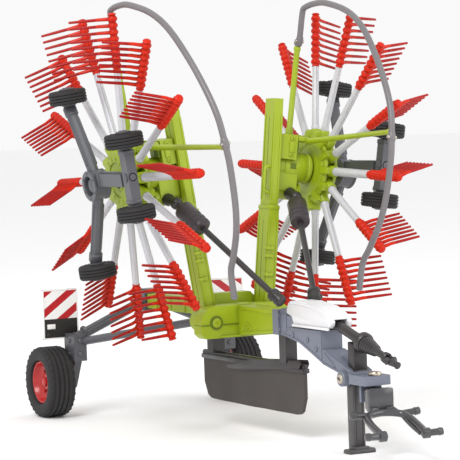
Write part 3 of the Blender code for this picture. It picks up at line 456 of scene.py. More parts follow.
def shaft_ends(name, side):
    foot, head, along = shaft_line(name, side)
    bm = bmesh.new()
    inner = head - along * GUARD_LENGTH
    lathe(bm, inner, along,
          [(0.0, 1.3), (0.0, 2.5), (0.3, 2.9), (1.2, 3.0), (1.4, 2.75), (2.2, 2.75), (2.4, 3.0), (3.2, 3.0),
           (3.4, 2.75), (4.2, 2.75), (4.4, 2.98), (9.2, 3.0), (9.7, 2.75), (10.1, 2.2), (10.3, 1.3),
           (11.8, 1.2), (12.2, 0.7), (12.3, 0.1)], 32)
    make(name + "_guard_ribs", bm, PURPLE_BLACK, name + "_shaft_guard",
         [name + "_shaft_guard"])
    bm = bmesh.new()
    lathe(bm, foot, along,
          [(-1.2, 0.3), (-1.2, 1.5), (-0.9, 1.8), (0.6, 1.85), (0.9, 1.6), (1.6, 1.6), (1.9, 1.95),
           (2.9, 1.95), (3.3, 1.7), (3.8, 1.2), (4.0, 0.95), (4.4, 0.9),
           ((inner - foot).length + 10.0, 0.9), ((inner - foot).length + 10.2, 0.6)], 24)
    cross = along.cross(Vector((0, 0, 1))).normalized()
    lathe(bm, foot - cross * 2.2 + along * 0.2, cross, [(0, 0.5), (0.15, 0.75), (4.25, 0.75), (4.4, 0.5)], 14)
    make(name + "_shaft_joint", bm, BLACK, name + "_shaft_rod", [name + "_shaft_rod"])
    bm = bmesh.new()
    stub = rotor_turn(side) @ Vector((side * STUB[0], STUB[1], STUB[2]))
    reach = stub - head
    tube(bm, [head, head + reach * 0.35, head + reach * 0.5, stub], [1.15, 1.2, 1.9, 1.9], 16)
    ball = [(-1.95 * math.cos(math.pi * k / 12), 1.95 * math.sin(math.pi * k / 12)) for k in range(13)]
    lathe(bm, head, reach, ball, 20)
    make(name + "_shaft_head_joint", bm, BLACK, name + "_boom")


def boom_details(name, side):
    bm, dark = bmesh.new(), bmesh.new()
    middle = -side * BOOM_IN[name]
    half_t, half_w = 1.75, 3.3
    block(bm, (middle - half_t - 0.15, -half_w - 0.15, 33.0), (middle + half_t + 0.15, half_w + 0.15, 34.2),
          0.15)
    for low, high in ((4.6, 30.6), (36.0, 62.0)):
        t, w = (half_t, half_w) if low < 10 else (1.5, 2.9)
        for x in (middle - t + 0.32, middle + t - 0.32):
            block(bm, (x - 0.28, -w - 0.18, low), (x + 0.28, -w + 0.2, high), 0.1)
        for face in (-1, 1):
            for y in (-w + 0.4, w - 0.4):
                x = middle + face * t
                block(bm, (x, y - 0.35, low), (x + face * 0.18, y + 0.35, high), 0.08)
        # Thin darker-lime strips along the faces: painted shade of the grooves
        block(dark, (middle - t - 0.03, -0.16, low + 1.0), (middle - t + 0.1, 0.16, high - 1.0), 0.02)
        block(dark, (middle + t - 0.1, -0.16, low + 1.0), (middle + t + 0.03, 0.16, high - 1.0), 0.02)
    for up in (12.5, 18.2, 20.6):
        block(bm, (middle - half_t - 0.5, -half_w - 0.5, up),
              (middle - half_t + 1.2, -half_w + 0.9, up + 1.1), 0.2)
        lathe(bm, (middle, -half_w, up + 0.5), (0, -1, 0),
              [(0, 0.7), (0.4, 0.7), (0.55, 0.5), (0.56, 0.05)], 12)
    if name == "left":
        loop = [(-1.6, -2.3, 38.0), (-3.2, -2.5, 38.4), (-3.6, -2.6, 41.0), (-3.6, -2.6, 43.6),
                (-3.2, -2.5, 45.6), (-1.6, -2.3, 46.0)]
        tube(bm, curved([(middle + x, y, z) for x, y, z in loop], 4), 0.45, 10)
    lathe(bm, (0, -3.25, 0), (0, -1, 0), [(-0.4, 2.3), (0.1, 2.3), (0.25, 2.1), (0.25, 1.6), (-0.4, 1.6)],
          24, closed=True)
    lathe(bm, (0, 3.25, 0), (0, 1, 0), [(-0.4, 2.6), (0.02, 2.6), (0.15, 2.4), (0.15, 1.8), (-0.4, 1.8)],
          24, closed=True)
    make(name + "_boom_trim", bm, LIME, name + "_boom", (), boom_turn(name, side))
    make(name + "_boom_groove_shade", dark, LIME_SHADE, name + "_boom", (), boom_turn(name, side))


# The hoop's middle line, to the front of the rotor's axis and up
HOOP_PATH = [(-8.4, 39.2), (-6.4, 39.6), (-6.1, 48.4), (-4.6, 50.2), (1.5, 51.1), (8.5, 50.8),
             (21.4, 47.8), (31.7, 42.4), (41.6, 33.0), (49.0, 23.6), (53.0, 16.4), (54.6, 9.2),
             (55.4, 3.0), (54.8, -8.0), (52.6, -16.0), (48.2, -23.5), (45.2, -28.0), (44.6, -36.0)]


def hoop_and_bracket(name, side):
    out = -6.6
    bm = bmesh.new()
    path = [Vector((side * out, -front, up)) for front, up in HOOP_PATH]
    tube(bm, curved(path, 4), 0.95, 16)
    for index in (1, 11):
        at = path[index]
        along = (path[index + 1] - path[index - 1]).normalized()
        tube(bm, [at - along * 1.5, at - along * 1.2, at + along * 1.2, at + along * 1.5],
             [0.96, 1.12, 1.12, 0.96], 14)
    tube(bm, [path[-1] - (path[-1] - path[-2]).normalized() * 1.4, path[-1]], 1.08, 14)
    make(name + "_hoop_tube", bm, HOOP_GREY, name + "_boom", [name + "_guard_hoop"],
         rotor_turn(side))
    bm = bmesh.new()
    end = {"left": 10.7, "right": 8.3}[name]
    tube(bm, [(side * out, -53.9, end), (side * out, -52.6, end), (side * out, -52.2, end - 0.02),
              (side * out, -6.0, 8.2), (side * out, -4.4, 8.2)], [0.95, 0.95, 0.75, 0.9, 1.1], 12)
    tube(bm, [(side * out, 7.2, up) for up in (8.4, 12.0, 12.6, 36.4, 37.0, 38.2)],
         [1.3, 1.3, 0.92, 0.92, 1.15, 1.15], 12)
    block(bm, (side * -10.0, -5.4, 7.9), (side * -5.8, 8.5, 9.4), 0.35)
    block(bm, (side * -9.6, -4.6, 9.3), (side * -8.8, 7.4, 9.9), 0.15)
    make(name + "_hoop_rods", bm, LIME, name + "_boom", [name + "_hoop_bracket"],
         rotor_turn(side))
    bm = bmesh.new()
    for front, up in (HOOP_PATH[1], HOOP_PATH[11]):
        for face in (-1, 1):
            lathe(bm, (side * out, -front, up), (face * side, 0, 0),
                  [(0.9, 0.6), (1.38, 0.6), (1.5, 0.45), (1.5, 0.2), (1.4, 0.15), (1.4, 0.03)], 14)
    make(name + "_hoop_screws", bm, STEEL, name + "_boom", (), rotor_turn(side))


# ---------------------------------------------------------------- bogies and rear wheels

# How far to the front of the rotor's axis, and how far up
BOGIE_WHEELS = {"rear_upper": (-10.5, 26.6), "rear_lower": (-10.5, -26.6),
                "front_upper": (BEAM_FRONT, 13.3), "front_lower": (BEAM_FRONT, -8.1)}


def bogie_wheels(name, side):
    for label, (front, up) in BOGIE_WHEELS.items():
        at = Vector((side * BOGIE_OUT, -front, up))
        bm = bmesh.new()
        profile = [(-2.1, 1.2), (-2.1, 2.4), (-1.9, 2.6), (-1.9, 4.3), (-2.1, 4.6), (-2.0, 5.2), (-1.75, 5.5)]
        for groove in (-0.9, 0.0, 0.9):
            profile += [(groove - 0.42, 5.7), (groove - 0.12, 5.68), (groove - 0.08, 5.25),
                        (groove + 0.08, 5.25), (groove + 0.12, 5.68), (groove + 0.42, 5.7)]
        profile += [(1.75, 5.5), (2.0, 5.2), (2.1, 4.6), (1.9, 4.3), (1.9, 2.6), (2.1, 2.4), (2.1, 1.2)]
        lathe(bm, at, (0, 0, 1), profile, 40, closed=True)
        for k in range(20):
            turn = 2 * math.pi * k / 20
            spoke = Vector((math.cos(turn), math.sin(turn), 0))
            for end in (-1, 1):
                tube(bm, [at + spoke * 5.0 + Vector((0, 0, end * 1.4)),
                          at + spoke * 5.38 + Vector((0, 0, end * 1.65)),
                          at + spoke * 4.9 + Vector((0, 0, end * 2.0))], 0.24, 6, round_ends=False)
        wheel = name + "_bogie_wheel_" + label
        make(wheel + "_tyre", bm, RUBBER, wheel, [wheel], rotor_turn(side))
        caps = bmesh.new()
        for end in (-1, 1):
            lathe(caps, at + Vector((0, 0, end * 2.2)), (0, 0, end),
                  [(0, 2.2), (0.3, 2.2), (0.45, 2.0), (0.45, 1.4), (0.7, 1.2), (0.7, 0.9)], 20)
        make(wheel + "_hub", caps, GREY, wheel, (), rotor_turn(side))


def bogie_details(name, side):
    bm = bmesh.new()
    for out, radius in ((7.7, 4.6), (12.2, 4.6)):
        lathe(bm, (side * out, 0, 0), (side, 0, 0),
              [(-0.4, 3.1), (-0.4, radius - 0.15), (-0.25, radius), (0.25, radius), (0.4, radius - 0.15),
               (0.4, 3.1)], 32, closed=True)
    lathe(bm, (side * 9.4, 0, 0), (side, 0, 0),
          [(0, 2.9), (0.6, 2.9), (0.8, 2.6), (1.6, 2.6), (1.8, 2.2), (2.4, 2.0), (2.7, 1.2), (2.8, 0.1)], 28)
    for k in range(6):
        turn = math.pi * k / 3
        at = Vector((side * 12.4, math.sin(turn) * 3.75, math.cos(turn) * 3.75))
        lathe(bm, at, (side, 0, 0), [(0, 0.42), (0.3, 0.42), (0.42, 0.3), (0.43, 0.05)], 6)
    for way in (-1, 1):
        end = Vector((side * BOGIE_OUT, 10.5, way * 23.1))
        start = Vector((side * BOGIE_OUT, 0, way * 3.4))
        along = (end - start).normalized()
        tube(bm, [end - along * 2.6, end - along * 2.2, end + along * 0.2, end + along * 0.9],
             [1.72, 2.05, 2.05, 1.6], 14)
        for face in (-1, 1):
            shift = Vector((face * 1.62, 0, 0))
            tube(bm, [start + along * 3.0 + shift, end - along * 3.0 + shift], 0.34, 6)
    middle = side * BOGIE_OUT
    block(bm, (middle - 1.8, -5.4, -0.4), (middle + 1.8, -3.6, 3.7), 0.3)
    block(bm, (middle - 0.5, -20.4, 3.1), (middle + 0.5, -4.8, 4.1), 0.2)
    make(name + "_bogie_trim", bm, GREY, name + "_boom", (), rotor_turn(side))
    bm = bmesh.new()
    for out in (-1.5, 1.5):
        face = 1 if out > 0 else -1
        lathe(bm, (side * (BOGIE_OUT + out), -BEAM_FRONT, BEAM_UP), (side * face, 0, 0),
              [(-0.2, 1.3), (0.25, 1.3), (0.4, 1.1), (0.4, 0.6), (0.55, 0.5), (0.56, 0.05)], 18)
    for up in (BEAM_UP - 7.2, BEAM_UP + 7.2):
        block(bm, (middle - 1.75, -26.15, up - 0.7), (middle + 1.75, -21.85, up + 0.7), 0.3)
    for up in (13.3, -8.1):
        for end in (-1, 1):
            lathe(bm, (middle, -BEAM_FRONT, up + end * 2.6), (0, 0, end),
                  [(-0.2, 0.9), (0.1, 0.9), (0.3, 0.7), (0.32, 0.05)], 14)
    make(name + "_beam_trim", bm, GREY, name + "_bogie_beam", (), rotor_turn(side))


def rear_wheel(name, side):
    at = place_of(name + "_rear_wheel_spin")
    axis = (side, 0, 0)
    bm = bmesh.new()
    profile = [(-3.2, 6.9), (-4.0, 7.1), (-4.35, 7.6), (-4.45, 8.6), (-4.35, 9.3), (-4.42, 9.8),
               (-4.1, 10.6), (-3.6, 10.95)]
    for rib in (-2.4, -0.8, 0.8, 2.4):
        profile += [(rib - 0.6, 10.95), (rib - 0.5, 11.3), (rib + 0.5, 11.3), (rib + 0.6, 10.95)]
    profile += [(3.6, 10.95), (4.1, 10.6), (4.42, 9.8), (4.35, 9.3), (4.45, 8.6), (4.35, 7.6), (4.0, 7.1),
                (3.2, 6.9)]
    lathe(bm, at, axis, profile, 64, closed=True)
    for k in range(30):
        for edge, offset in ((-1, 0.0), (1, 0.5)):
            turn = 2 * math.pi * (k + offset) / 30
            spoke = Vector((0, math.cos(turn), math.sin(turn)))
            across = Vector((0, -math.sin(turn), math.cos(turn)))
            low = at + Vector((edge * 3.3, 0, 0)) + spoke * 10.9
            high = at + Vector((edge * 4.28, 0, 0)) + spoke * 10.25
            tube(bm, [low - across * 0.25, (low + high) / 2 + spoke * 0.12, high + across * 0.15],
                 [0.36, 0.4, 0.3], 6)
    for k in range(24):
        turn = 2 * math.pi * k / 24
        spoke = Vector((0, math.cos(turn), math.sin(turn)))
        across = Vector((0, -math.sin(turn), math.cos(turn)))
        for rib in (-1.6, 0.0, 1.6):
            mid = at + Vector((rib, 0, 0)) + spoke * 11.02
            tube(bm, [mid - Vector((0.32, 0, 0)) - across * 0.3, mid + Vector((0.32, 0, 0)) + across * 0.3],
                 0.22, 6)
    make(name + "_rear_tyre_tread", bm, RUBBER, name + "_rear_wheel", [name + "_rear_tyre"])
    bm = bmesh.new()
    lathe(bm, at, axis,
          [(-3.3, 1.7), (-3.3, 6.4), (-3.1, 6.7), (-2.6, 6.5), (2.2, 6.5), (3.0, 6.75), (3.3, 6.75),
           (3.4, 6.5), (3.25, 6.2), (2.6, 5.9), (1.9, 5.5), (1.3, 4.9), (1.1, 4.4), (1.1, 2.9), (1.5, 2.6),
           (1.7, 2.3), (1.7, 1.7)], 56, closed=True)
    for k in range(6):
        turn = math.pi * k / 3
        spot = at + Vector((side * 1.1, math.cos(turn) * 3.6, math.sin(turn) * 3.6))
        lathe(bm, spot, axis, [(0, 0.5), (0.45, 0.5), (0.6, 0.36), (0.62, 0.05)], 6)
    make(name + "_rear_rim_dish", bm, RIM_RED, name + "_rear_wheel", [name + "_rear_rim"])
    bm = bmesh.new()
    lathe(bm, at, axis, [(0.9, 1.6), (2.0, 1.6), (2.4, 1.5), (2.7, 1.1), (2.8, 0.5), (2.8, 0.05)], 24)
    lathe(bm, at, axis, [(1.3, 2.5), (1.75, 2.5), (1.85, 2.3), (1.85, 1.6), (1.3, 1.6)], 24, closed=True)
    make(name + "_wheel_cap", bm, RIM_RED, name + "_rear_wheel")


def axle_details():
    bm = bmesh.new()
    for side in (-1, 1):
        for up in (20.2, 24.4):
            lathe(bm, (side * 26.8, 51.0, up), (0, -1, 0),
                  [(-0.2, 0.8), (0.3, 0.8), (0.45, 0.6), (0.46, 0.05)], 6)
            lathe(bm, (side * 29.0, 54.5, up), (side, 0, 0),
                  [(-0.2, 0.7), (0.25, 0.7), (0.4, 0.5), (0.41, 0.05)], 6)
        start, end = Vector((side * 2.6, 54.4, 36.0)), Vector((side * 25.4, 54.4, 26.2))
        along = (end - start).normalized()
        for y in (52.7, 56.1):
            tube(bm, [Vector((p.x, y, p.z)) for p in (start + along * 1.4, end - along * 0.6)], 0.4, 8)
        tube(bm, [end - along * 2.6, end - along * 2.2, end - along * 0.8], [1.8, 2.1, 2.1], 12)
        lathe(bm, (side * 27.9, 59.7, 11.34), (side, 0, 0),
              [(0, 2.4), (0.6, 2.4), (0.8, 2.1), (1.4, 1.8), (1.6, 1.4)], 20)
        leg = [(side * 26.2, 58.2, 11.6), (side * 26.4, 56.4, 15.0), (side * 26.6, 54.6, 18.6)]
        tube(bm, curved(leg, 4), 1.5, 12)
    block(bm, (-2.6, 50.4, 32.2), (2.6, 58.4, 33.6), 0.4)
    block(bm, (-2.2, 51.8, 38.8), (2.2, 57.2, 39.5), 0.3)
    make("axle_trim", bm, GREY, "frame")


def panel_details():
    for name, side in SIDES.items():
        low, high = [Vector((x, y - SHIFT, z)) / MM for x, y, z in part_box(name + "_warning_panel")]
        middle = side * 30.1
        bm = bmesh.new()
        for x in (middle - 5.9, middle + 5.9):
            block(bm, (x - 0.22, low.y - 0.12, 25.1), (x + 0.22, high.y + 0.12, 40.7), 0.12)
        for z in (25.2, 40.6):
            block(bm, (middle - 6.0, low.y - 0.12, z - 0.2), (middle + 6.0, high.y + 0.12, z + 0.2), 0.12)
        block(bm, (middle + side * 3.4 - 1.4, low.y - 0.3, 28.2),
              (middle + side * 3.4 + 1.4, low.y + 0.2, 29.8), 0.15)
        make(name + "_panel_edge", bm, REFLECTOR, "frame")
        bm = bmesh.new()
        for x in (middle - 4.4, middle + 4.4):
            lathe(bm, (x, low.y, 26.3), (0, -1, 0), [(0, 0.55), (0.25, 0.55), (0.38, 0.4), (0.39, 0.05)], 12)
        make(name + "_panel_studs", bm, BLACK, "frame")
        frame["nodes"][name + "_warning_panel"].data.materials.clear()
        frame["nodes"][name + "_warning_panel"].data.materials.append(WARNING)


# ---------------------------------------------------------------- frame

def frame_details():
    bm, dark = bmesh.new(), bmesh.new()
    front = -12.7
    for side in (-1, 1):
        pin = side * 10.3
        # A darker-lime ring round each pin and thin strips along the joints: painted shade of the gaps
        lathe(dark, (pin, front, 33.0), (0, -1, 0), [(-0.3, 1.45), (0.04, 1.45), (0.04, 2.1), (-0.3, 2.1)],
              32, closed=True)
        lathe(bm, (pin, front, 33.0), (0, -1, 0),
              [(-0.2, 1.42), (0.3, 1.42), (0.45, 1.2), (0.45, 0.5), (0.3, 0.4), (0.3, 0.05)], 24)
        for low, high in ((12.5, 15.25), (2.9, 8.1)):
            block(dark, (side * low, front - 0.03, 32.25), (side * high, front + 0.2, 32.45), 0.01)
        block(dark, (side * 15.2, front + 0.4, 32.25), (side * 15.34, -7.9, 32.45), 0.01)
        arch = [(side * 2.85, -15.4, 30.2), (side * 2.85, -16.0, 31.6), (side * 2.85, -18.0, 32.4),
                (side * 2.85, -20.2, 31.9), (side * 2.85, -21.0, 30.6)]
        tube(bm, curved(arch, 4), 0.28, 8)
        tube(bm, curved([(side * 2.85, -16.8, 30.2), (side * 2.85, -18.2, 31.2),
                         (side * 2.85, -19.8, 30.4)], 4), 0.2, 8)
        slab(bm, [(-14.2, 36.6), (-34.6, 36.3), (-34.6, 37.5), (-14.2, 37.9)], side * 2.75, side * 3.0, 0.1)
        slab(bm, [(-14.2, 29.0), (-34.6, 30.9), (-34.6, 31.7), (-14.2, 29.9)], side * 2.75, side * 2.95, 0.1)
        for y in (14.0, 24.0, 34.0, 44.0):
            block(bm, (side * 2.5, y - 0.5, 33.6), (side * 2.85, y + 0.5, 37.8), 0.12)
        lathe(bm, (side * 5.2, 4.2, 36.0), (0, 1, 0), [(-0.1, 1.2), (0.3, 1.2), (0.5, 0.9), (0.52, 0.1)], 18)
    block(bm, (-2.2, -12.0, 37.4), (2.2, -8.6, 38.3), 0.3)
    block(bm, (-1.6, 5.0, 37.3), (1.6, 50.0, 38.25), 0.25)
    block(bm, (-9.0, front - 0.25, 28.5), (9.0, front + 0.1, 29.1), 0.12)
    make("frame_trim", bm, LIME, "frame", ["left_fold_pin", "right_fold_pin"])
    make("frame_seam_shade", dark, LIME_SHADE, "frame")


# ---------------------------------------------------------------- drawbar

def shaft_point(y):
    """A place on the input shaft's axis."""
    return Vector((0, y, 26.0 + 0.285 * (y + 99.2)))


def cover():
    bm = bmesh.new()
    outline = [(-47.6, 34.3), (-47.6, 37.0), (-44.0, 37.0), (-43.9, 38.2), (-44.7, 39.9), (-46.2, 41.0),
               (-52.0, 41.0), (-61.0, 40.0), (-65.0, 38.9), (-68.2, 37.6), (-69.6, 36.3), (-69.2, 34.9),
               (-68.0, 34.3)]
    slab(bm, outline, -3.6, -1.9, 0.4)
    slab(bm, outline, 1.9, 3.6, 0.4)
    crown = [(-43.95, 38.0), (-44.7, 39.9), (-46.2, 41.0), (-52.0, 41.05), (-61.0, 40.05), (-65.0, 38.95),
             (-68.3, 37.65), (-69.3, 36.9), (-68.9, 36.6), (-66.0, 37.7), (-60.0, 38.6), (-52.0, 38.2),
             (-47.0, 38.0)]
    slab(bm, crown, -2.6, 2.6, 0.3)
    block(bm, (-3.4, -64.0, 34.2), (3.4, -47.8, 38.4), 0.4)
    slab(bm, [(-47.6, 33.7), (-68.4, 33.7), (-68.4, 34.5), (-47.6, 34.5)], -4.0, -3.3, 0.2)
    slab(bm, [(-47.6, 33.7), (-68.4, 33.7), (-68.4, 34.5), (-47.6, 34.5)], 3.3, 4.0, 0.2)
    for side in (-1, 1):
        tube(bm, curved([(side * 3.55, -46.2, 40.4), (side * 3.6, -54.0, 40.2), (side * 3.58, -61.0, 39.2),
                         (side * 3.5, -66.6, 37.4)], 4), 0.22, 8)
    make("cover_shell", bm, WHITE, "frame", ["gearbox_cover"])


def input_shaft():
    bm = bmesh.new()
    start = shaft_point(-64.0)
    along = (shaft_point(-99.2) - start).normalized()

    def reach(y):
        return (shaft_point(y) - start).length

    lathe(bm, start, along,
          [(0, 0.5), (0, 1.45), (reach(-78.6), 1.45), (reach(-78.8), 1.9), (reach(-80.2), 1.95),
           (reach(-80.4), 2.6), (reach(-80.7), 2.9), (reach(-81.9), 2.9), (reach(-82.2), 2.6),
           (reach(-82.6), 2.5)], 32)
    rings = [(reach(-82.4), 1.4)]
    for k in range(6):
        y, radius = -82.6 - k * 0.9, 2.4 - 0.14 * k
        rings += [(reach(y), radius - 0.35), (reach(y - 0.25), radius), (reach(y - 0.6), radius),
                  (reach(y - 0.85), radius - 0.35)]
    rings += [(reach(-89.2), 1.05), (reach(-92.4), 0.95), (reach(-92.6), 0.4)]
    lathe(bm, start, along, rings, 28)
    up = Vector((1, 0, 0)).cross(along)
    mid = shaft_point(-94.2)
    lathe(bm, mid - along * 2.0, along, [(0, 1.0), (0.2, 1.5), (1.4, 1.6), (1.8, 1.3)], 20)
    for side in (-1, 1):
        tube(bm, [mid + Vector((side * 1.15, 0, 0)) - along * 0.9,
                  mid + Vector((side * 1.2, 0, 0)) + along * 1.6], [0.62, 0.75], 10)
        lathe(bm, mid + Vector((side * 0.7, 0, 0)) + along * 1.2, (side, 0, 0),
              [(0, 1.05), (0.75, 1.05), (0.95, 0.85), (0.96, 0.35), (0.8, 0.3), (0.8, 0.05)], 16)
    tube(bm, [mid + along * 1.2 - up * 1.4, mid + along * 1.2 + up * 1.4], 0.5, 10)
    lathe(bm, mid + along * 1.6, along,
          [(0, 0.6), (0.2, 1.1), (1.2, 1.15), (1.6, 0.95), (3.1, 0.9), (3.4, 1.05), (3.6, 0.8),
           (3.62, 0.1)], 20)
    make("input_shaft_parts", bm, BLACK, "frame", ["input_shaft"])


def drawbar_details():
    bm, dark, bright = bmesh.new(), bmesh.new(), bmesh.new()
    for side in (-1, 1):
        x0, x1 = sorted((side * 3.25, side * 3.5))
        slab(bm, [(-41.0, 37.2), (-43.4, 37.2), (-43.4, 32.0), (-41.0, 32.0)], x0, x1, 0.1)
        slab(bm, [(-44.0, 33.3), (-63.4, 33.3), (-63.4, 32.6), (-44.0, 32.6)], x0, x1, 0.1)
        slab(bm, [(-41.6, 31.4), (-51.2, 29.9), (-57.0, 27.6), (-64.6, 24.6), (-64.2, 24.1), (-56.7, 27.0),
                  (-51.0, 29.2), (-41.6, 30.8)], x0, x1, 0.08)
        slab(bm, [(-66.0, 27.7), (-79.6, 23.2), (-79.4, 22.7), (-66.0, 27.1)], x0, x1, 0.08)
        slab(bm, [(-65.0, 24.5), (-75.6, 22.3), (-75.4, 21.8), (-65.0, 24.0)], x0, x1, 0.08)
        slab(bm, [(-62.6, 32.8), (-63.6, 32.8), (-63.6, 25.2), (-62.6, 25.5)], x0, x1, 0.08)
        tube(bm, [(side * 3.35, -64.8, 27.2), (side * 3.35, -71.0, 23.6)], 0.3, 8)
        for y, z in ((-47.0, 31.2), (-55.6, 30.4), (-60.4, 28.0)):
            lathe(bm, (side * 3.25, y, z), (side, 0, 0),
                  [(0, 0.75), (0.35, 0.75), (0.5, 0.55), (0.5, 0.25), (0.35, 0.2), (0.35, 0.05)], 16)
        for z in (32.4, 36.4):
            lathe(bm, (side * 3.3, -39.5, z), (0, -1, 0),
                  [(0, 0.6), (0.25, 0.6), (0.4, 0.42), (0.41, 0.05)], 14)
        at = Vector((side * 4.3, -75.8, 20.9))
        lathe(bm, at, (side, 0, 0),
              [(-0.6, 2.15), (0.1, 2.15), (0.35, 1.95), (0.35, 1.5), (-0.6, 1.5)], 28, closed=True)
        lathe(bright, at, (side, 0, 0),
              [(-0.6, 1.45), (0.45, 1.45), (0.7, 1.3), (0.8, 0.9), (0.8, 0.45), (0.5, 0.4), (0.5, 0.05)], 28)
        tube(dark, [at + Vector((side * 0.82, 0.85, 0.3)), at + Vector((side * 0.82, -0.85, -0.3))], 0.16, 6)
    for y in (-80.4, -83.1):
        block(bm, (-4.2, y - 0.3, 22.2), (4.2, y + 0.3, 22.6), 0.1)
    lathe(bright, (0, -86.9, 22.6), (0, 0, 1),
          [(-0.2, 1.7), (0.15, 1.95), (0.45, 1.95), (0.8, 1.75), (1.0, 1.1), (1.05, 0.1)], 32)
    lathe(bright, (0, -86.9, 12.4), (0, 0, 1), [(-0.4, 0.7), (-0.2, 1.0), (0.6, 1.0), (0.8, 0.8)], 20)
    slab(dark, [(-75.9, 23.0), (-79.5, 22.6), (-79.5, 29.6), (-78.6, 30.4), (-75.9, 31.2)], -2.15, 2.15, 0.35)
    block(dark, (-2.5, -79.9, 22.2), (2.5, -75.4, 23.4), 0.3)
    make("drawbar_ribs", bm, BLUE_GREY, "frame")
    make("drawbar_post", dark, BLACK, "frame")
    make("drawbar_pins", bright, COPPER, "frame", ["hitch_pin", "stand_pin"])


def hitch_fork():
    pin = place_of("hitch_yaw")
    turn = Matrix.Translation(pin) @ Matrix.Rotation(math.radians(-7.0), 4, "Z")
    low, high = 12.8 - pin.z, 19.2 - pin.z
    bm = bmesh.new()
    block(bm, (-3.7, -4.1, low), (3.7, -1.4, high), 0.45)
    tall = high - low
    lathe(bm, (0, 0, low), (0, 0, 1),
          [(0, 1.4), (0, 1.75), (0.15, 1.9), (tall - 0.15, 1.9), (tall, 1.75), (tall, 1.4)], 24, closed=True)
    block(bm, (-3.3, -1.8, low + 0.5), (-1.3, 0.2, high - 0.5), 0.3)
    block(bm, (1.3, -1.8, low + 0.5), (3.3, 0.2, high - 0.5), 0.3)
    bar = 12.6 - pin.z
    arch = [(-6.4, -18.4, bar - 4.4), (-6.5, -12.0, bar - 2.5), (-6.1, -8.2, bar - 1.3),
            (-4.9, -5.9, bar - 0.5), (-2.4, -4.9, bar - 0.1), (0, -4.5, bar)]
    path = arch + [(-x, y, z) for x, y, z in reversed(arch[:-1])]
    tube(bm, curved(path, 4), 1.05, 14)
    for side in (-1, 1):
        tip = Vector((side * 6.4, -18.4, bar - 4.5))
        tube(bm, [tip + Vector((-side * 1.35, 0, 0)), tip + Vector((side * 1.35, 0, 0))], 1.6, 20)
        tube(bm, [tip, tip + Vector((side * 3.6, 0, 0.1)), tip + Vector((side * 3.8, 0, 0.1)),
                  tip + Vector((side * 5.1, 0, 0.2))], [1.0, 1.0, 1.15, 1.15], 14)
        rear = Vector((side * 4.8, -6.0, bar - 0.4))
        tube(bm, [rear, rear + Vector((side * 3.8, 0, 0.3)), rear + Vector((side * 4.0, 0, 0.3)),
                  rear + Vector((side * 5.7, 0, 0.5))], [0.95, 0.95, 1.15, 1.15], 14)
        inner = [Vector((side * 5.0, -7.0, bar - 1.4)), Vector((side * 5.2, -11.0, bar - 3.0)),
                 Vector((side * 5.4, -16.8, bar - 4.8))]
        tube(bm, curved(inner, 3), 0.55, 10)
        tube(bm, [(side * 1.0, -4.3, low + 0.6), (side * 2.9, -4.3, low + 0.9),
                  (side * 4.6, -5.8, bar - 0.4)], 0.7, 10)
    make("fork_parts", bm, FORK_GREY, "hitch", ["hitch_fork"], turn)


def stand():
    bm = bmesh.new()
    for side in (-1, 1):
        x0, x1 = sorted((side * 1.1, side * 1.85))
        slab(bm, [(-77.7, 1.0), (-77.7, 18.8), (-77.2, 20.9), (-76.8, 22.2), (-75.8, 22.6), (-74.8, 22.2),
                  (-74.4, 20.9), (-74.5, 1.0)], x0, x1, 0.15)
    block(bm, (-1.3, -77.45, 1.0), (1.3, -76.3, 18.9), 0.2)
    for z in (5.0, 10.0, 15.0):
        block(bm, (-1.3, -76.6, z), (1.3, -74.8, z + 0.5), 0.1)
    block(bm, (-1.0, -77.62, 3.4), (1.0, -77.2, 16.6), 0.12)
    foot = -77.4
    slab(bm, [(foot - 1.9, 0.0), (foot - 1.9, 0.9), (foot - 1.4, 1.3), (foot + 1.4, 1.3), (foot + 1.9, 0.9),
              (foot + 1.9, 0.0)], -4.2, 4.2, 0.25)
    block(bm, (-2.3, foot - 1.6, 1.1), (2.3, foot + 1.6, 1.9), 0.2)
    make("stand_parts", bm, DARK_GREY, "stand", ["stand_leg"])


def curtain():
    bm = bmesh.new()
    columns, rows = 34, 12
    rear, front, top, bottom = 16.0, -47.8, 21.4, 7.4
    grids = []
    for face in (-1, 1):
        grid = []
        for row in range(rows + 1):
            line = []
            for column in range(columns + 1):
                u, v = column / columns, row / rows
                y = rear + (front - rear) * u
                drop = (top - bottom) * v
                edge = min(y - front, rear - y)
                if edge < 5.0:
                    lift = 5.0 - math.sqrt(max(0.0, 25.0 - (5.0 - edge) ** 2))
                    drop = min(drop, top - bottom - lift)
                wave = 0.22 * math.sin(u * 9.0 + 0.4) * v + 0.12 * math.sin(u * 23.0) * v * v
                line.append(bm.verts.new((face * 0.55 + wave, y, top - drop)))
            grid.append(line)
        grids.append(grid)
        for row in range(rows):
            for column in range(columns):
                bm.faces.new((grid[row][column], grid[row][column + 1], grid[row + 1][column + 1],
                              grid[row + 1][column]))
    border = [(row, 0) for row in range(rows + 1)] + [(rows, c) for c in range(1, columns + 1)]
    border += [(row, columns) for row in range(rows - 1, -1, -1)]
    border += [(0, c) for c in range(columns - 1, 0, -1)]
    for one, two in zip(border, border[1:] + border[:1]):
        bm.faces.new((grids[0][one[0]][one[1]], grids[0][two[0]][two[1]], grids[1][two[0]][two[1]],
                      grids[1][one[0]][one[1]]))
    bmesh.ops.remove_doubles(bm, verts=bm.verts, dist=0.0005)
    make("curtain_sheet", bm, CURTAIN, "frame", ["swath_curtain"], angle=60)
    bm = bmesh.new()
    tube(bm, [(0, rear + 0.3, top + 0.2), (0, front - 0.3, top + 0.2)], 0.95, 14)
    block(bm, (-1.25, front - 0.4, top - 1.6), (1.25, rear + 0.4, top - 0.2), 0.3)
    for side in (-1, 1):
        slab(bm, [(-0.9, 18.6), (-6.0, 19.9), (-17.9, 21.9), (-46.8, 23.6), (-47.6, 22.6), (-46.8, 21.2),
                  (-30.0, 19.8), (-12.0, 18.0), (-2.0, 18.0)], side * 1.1, side * 1.55, 0.12)
    make("curtain_rail", bm, BLACK, "frame")


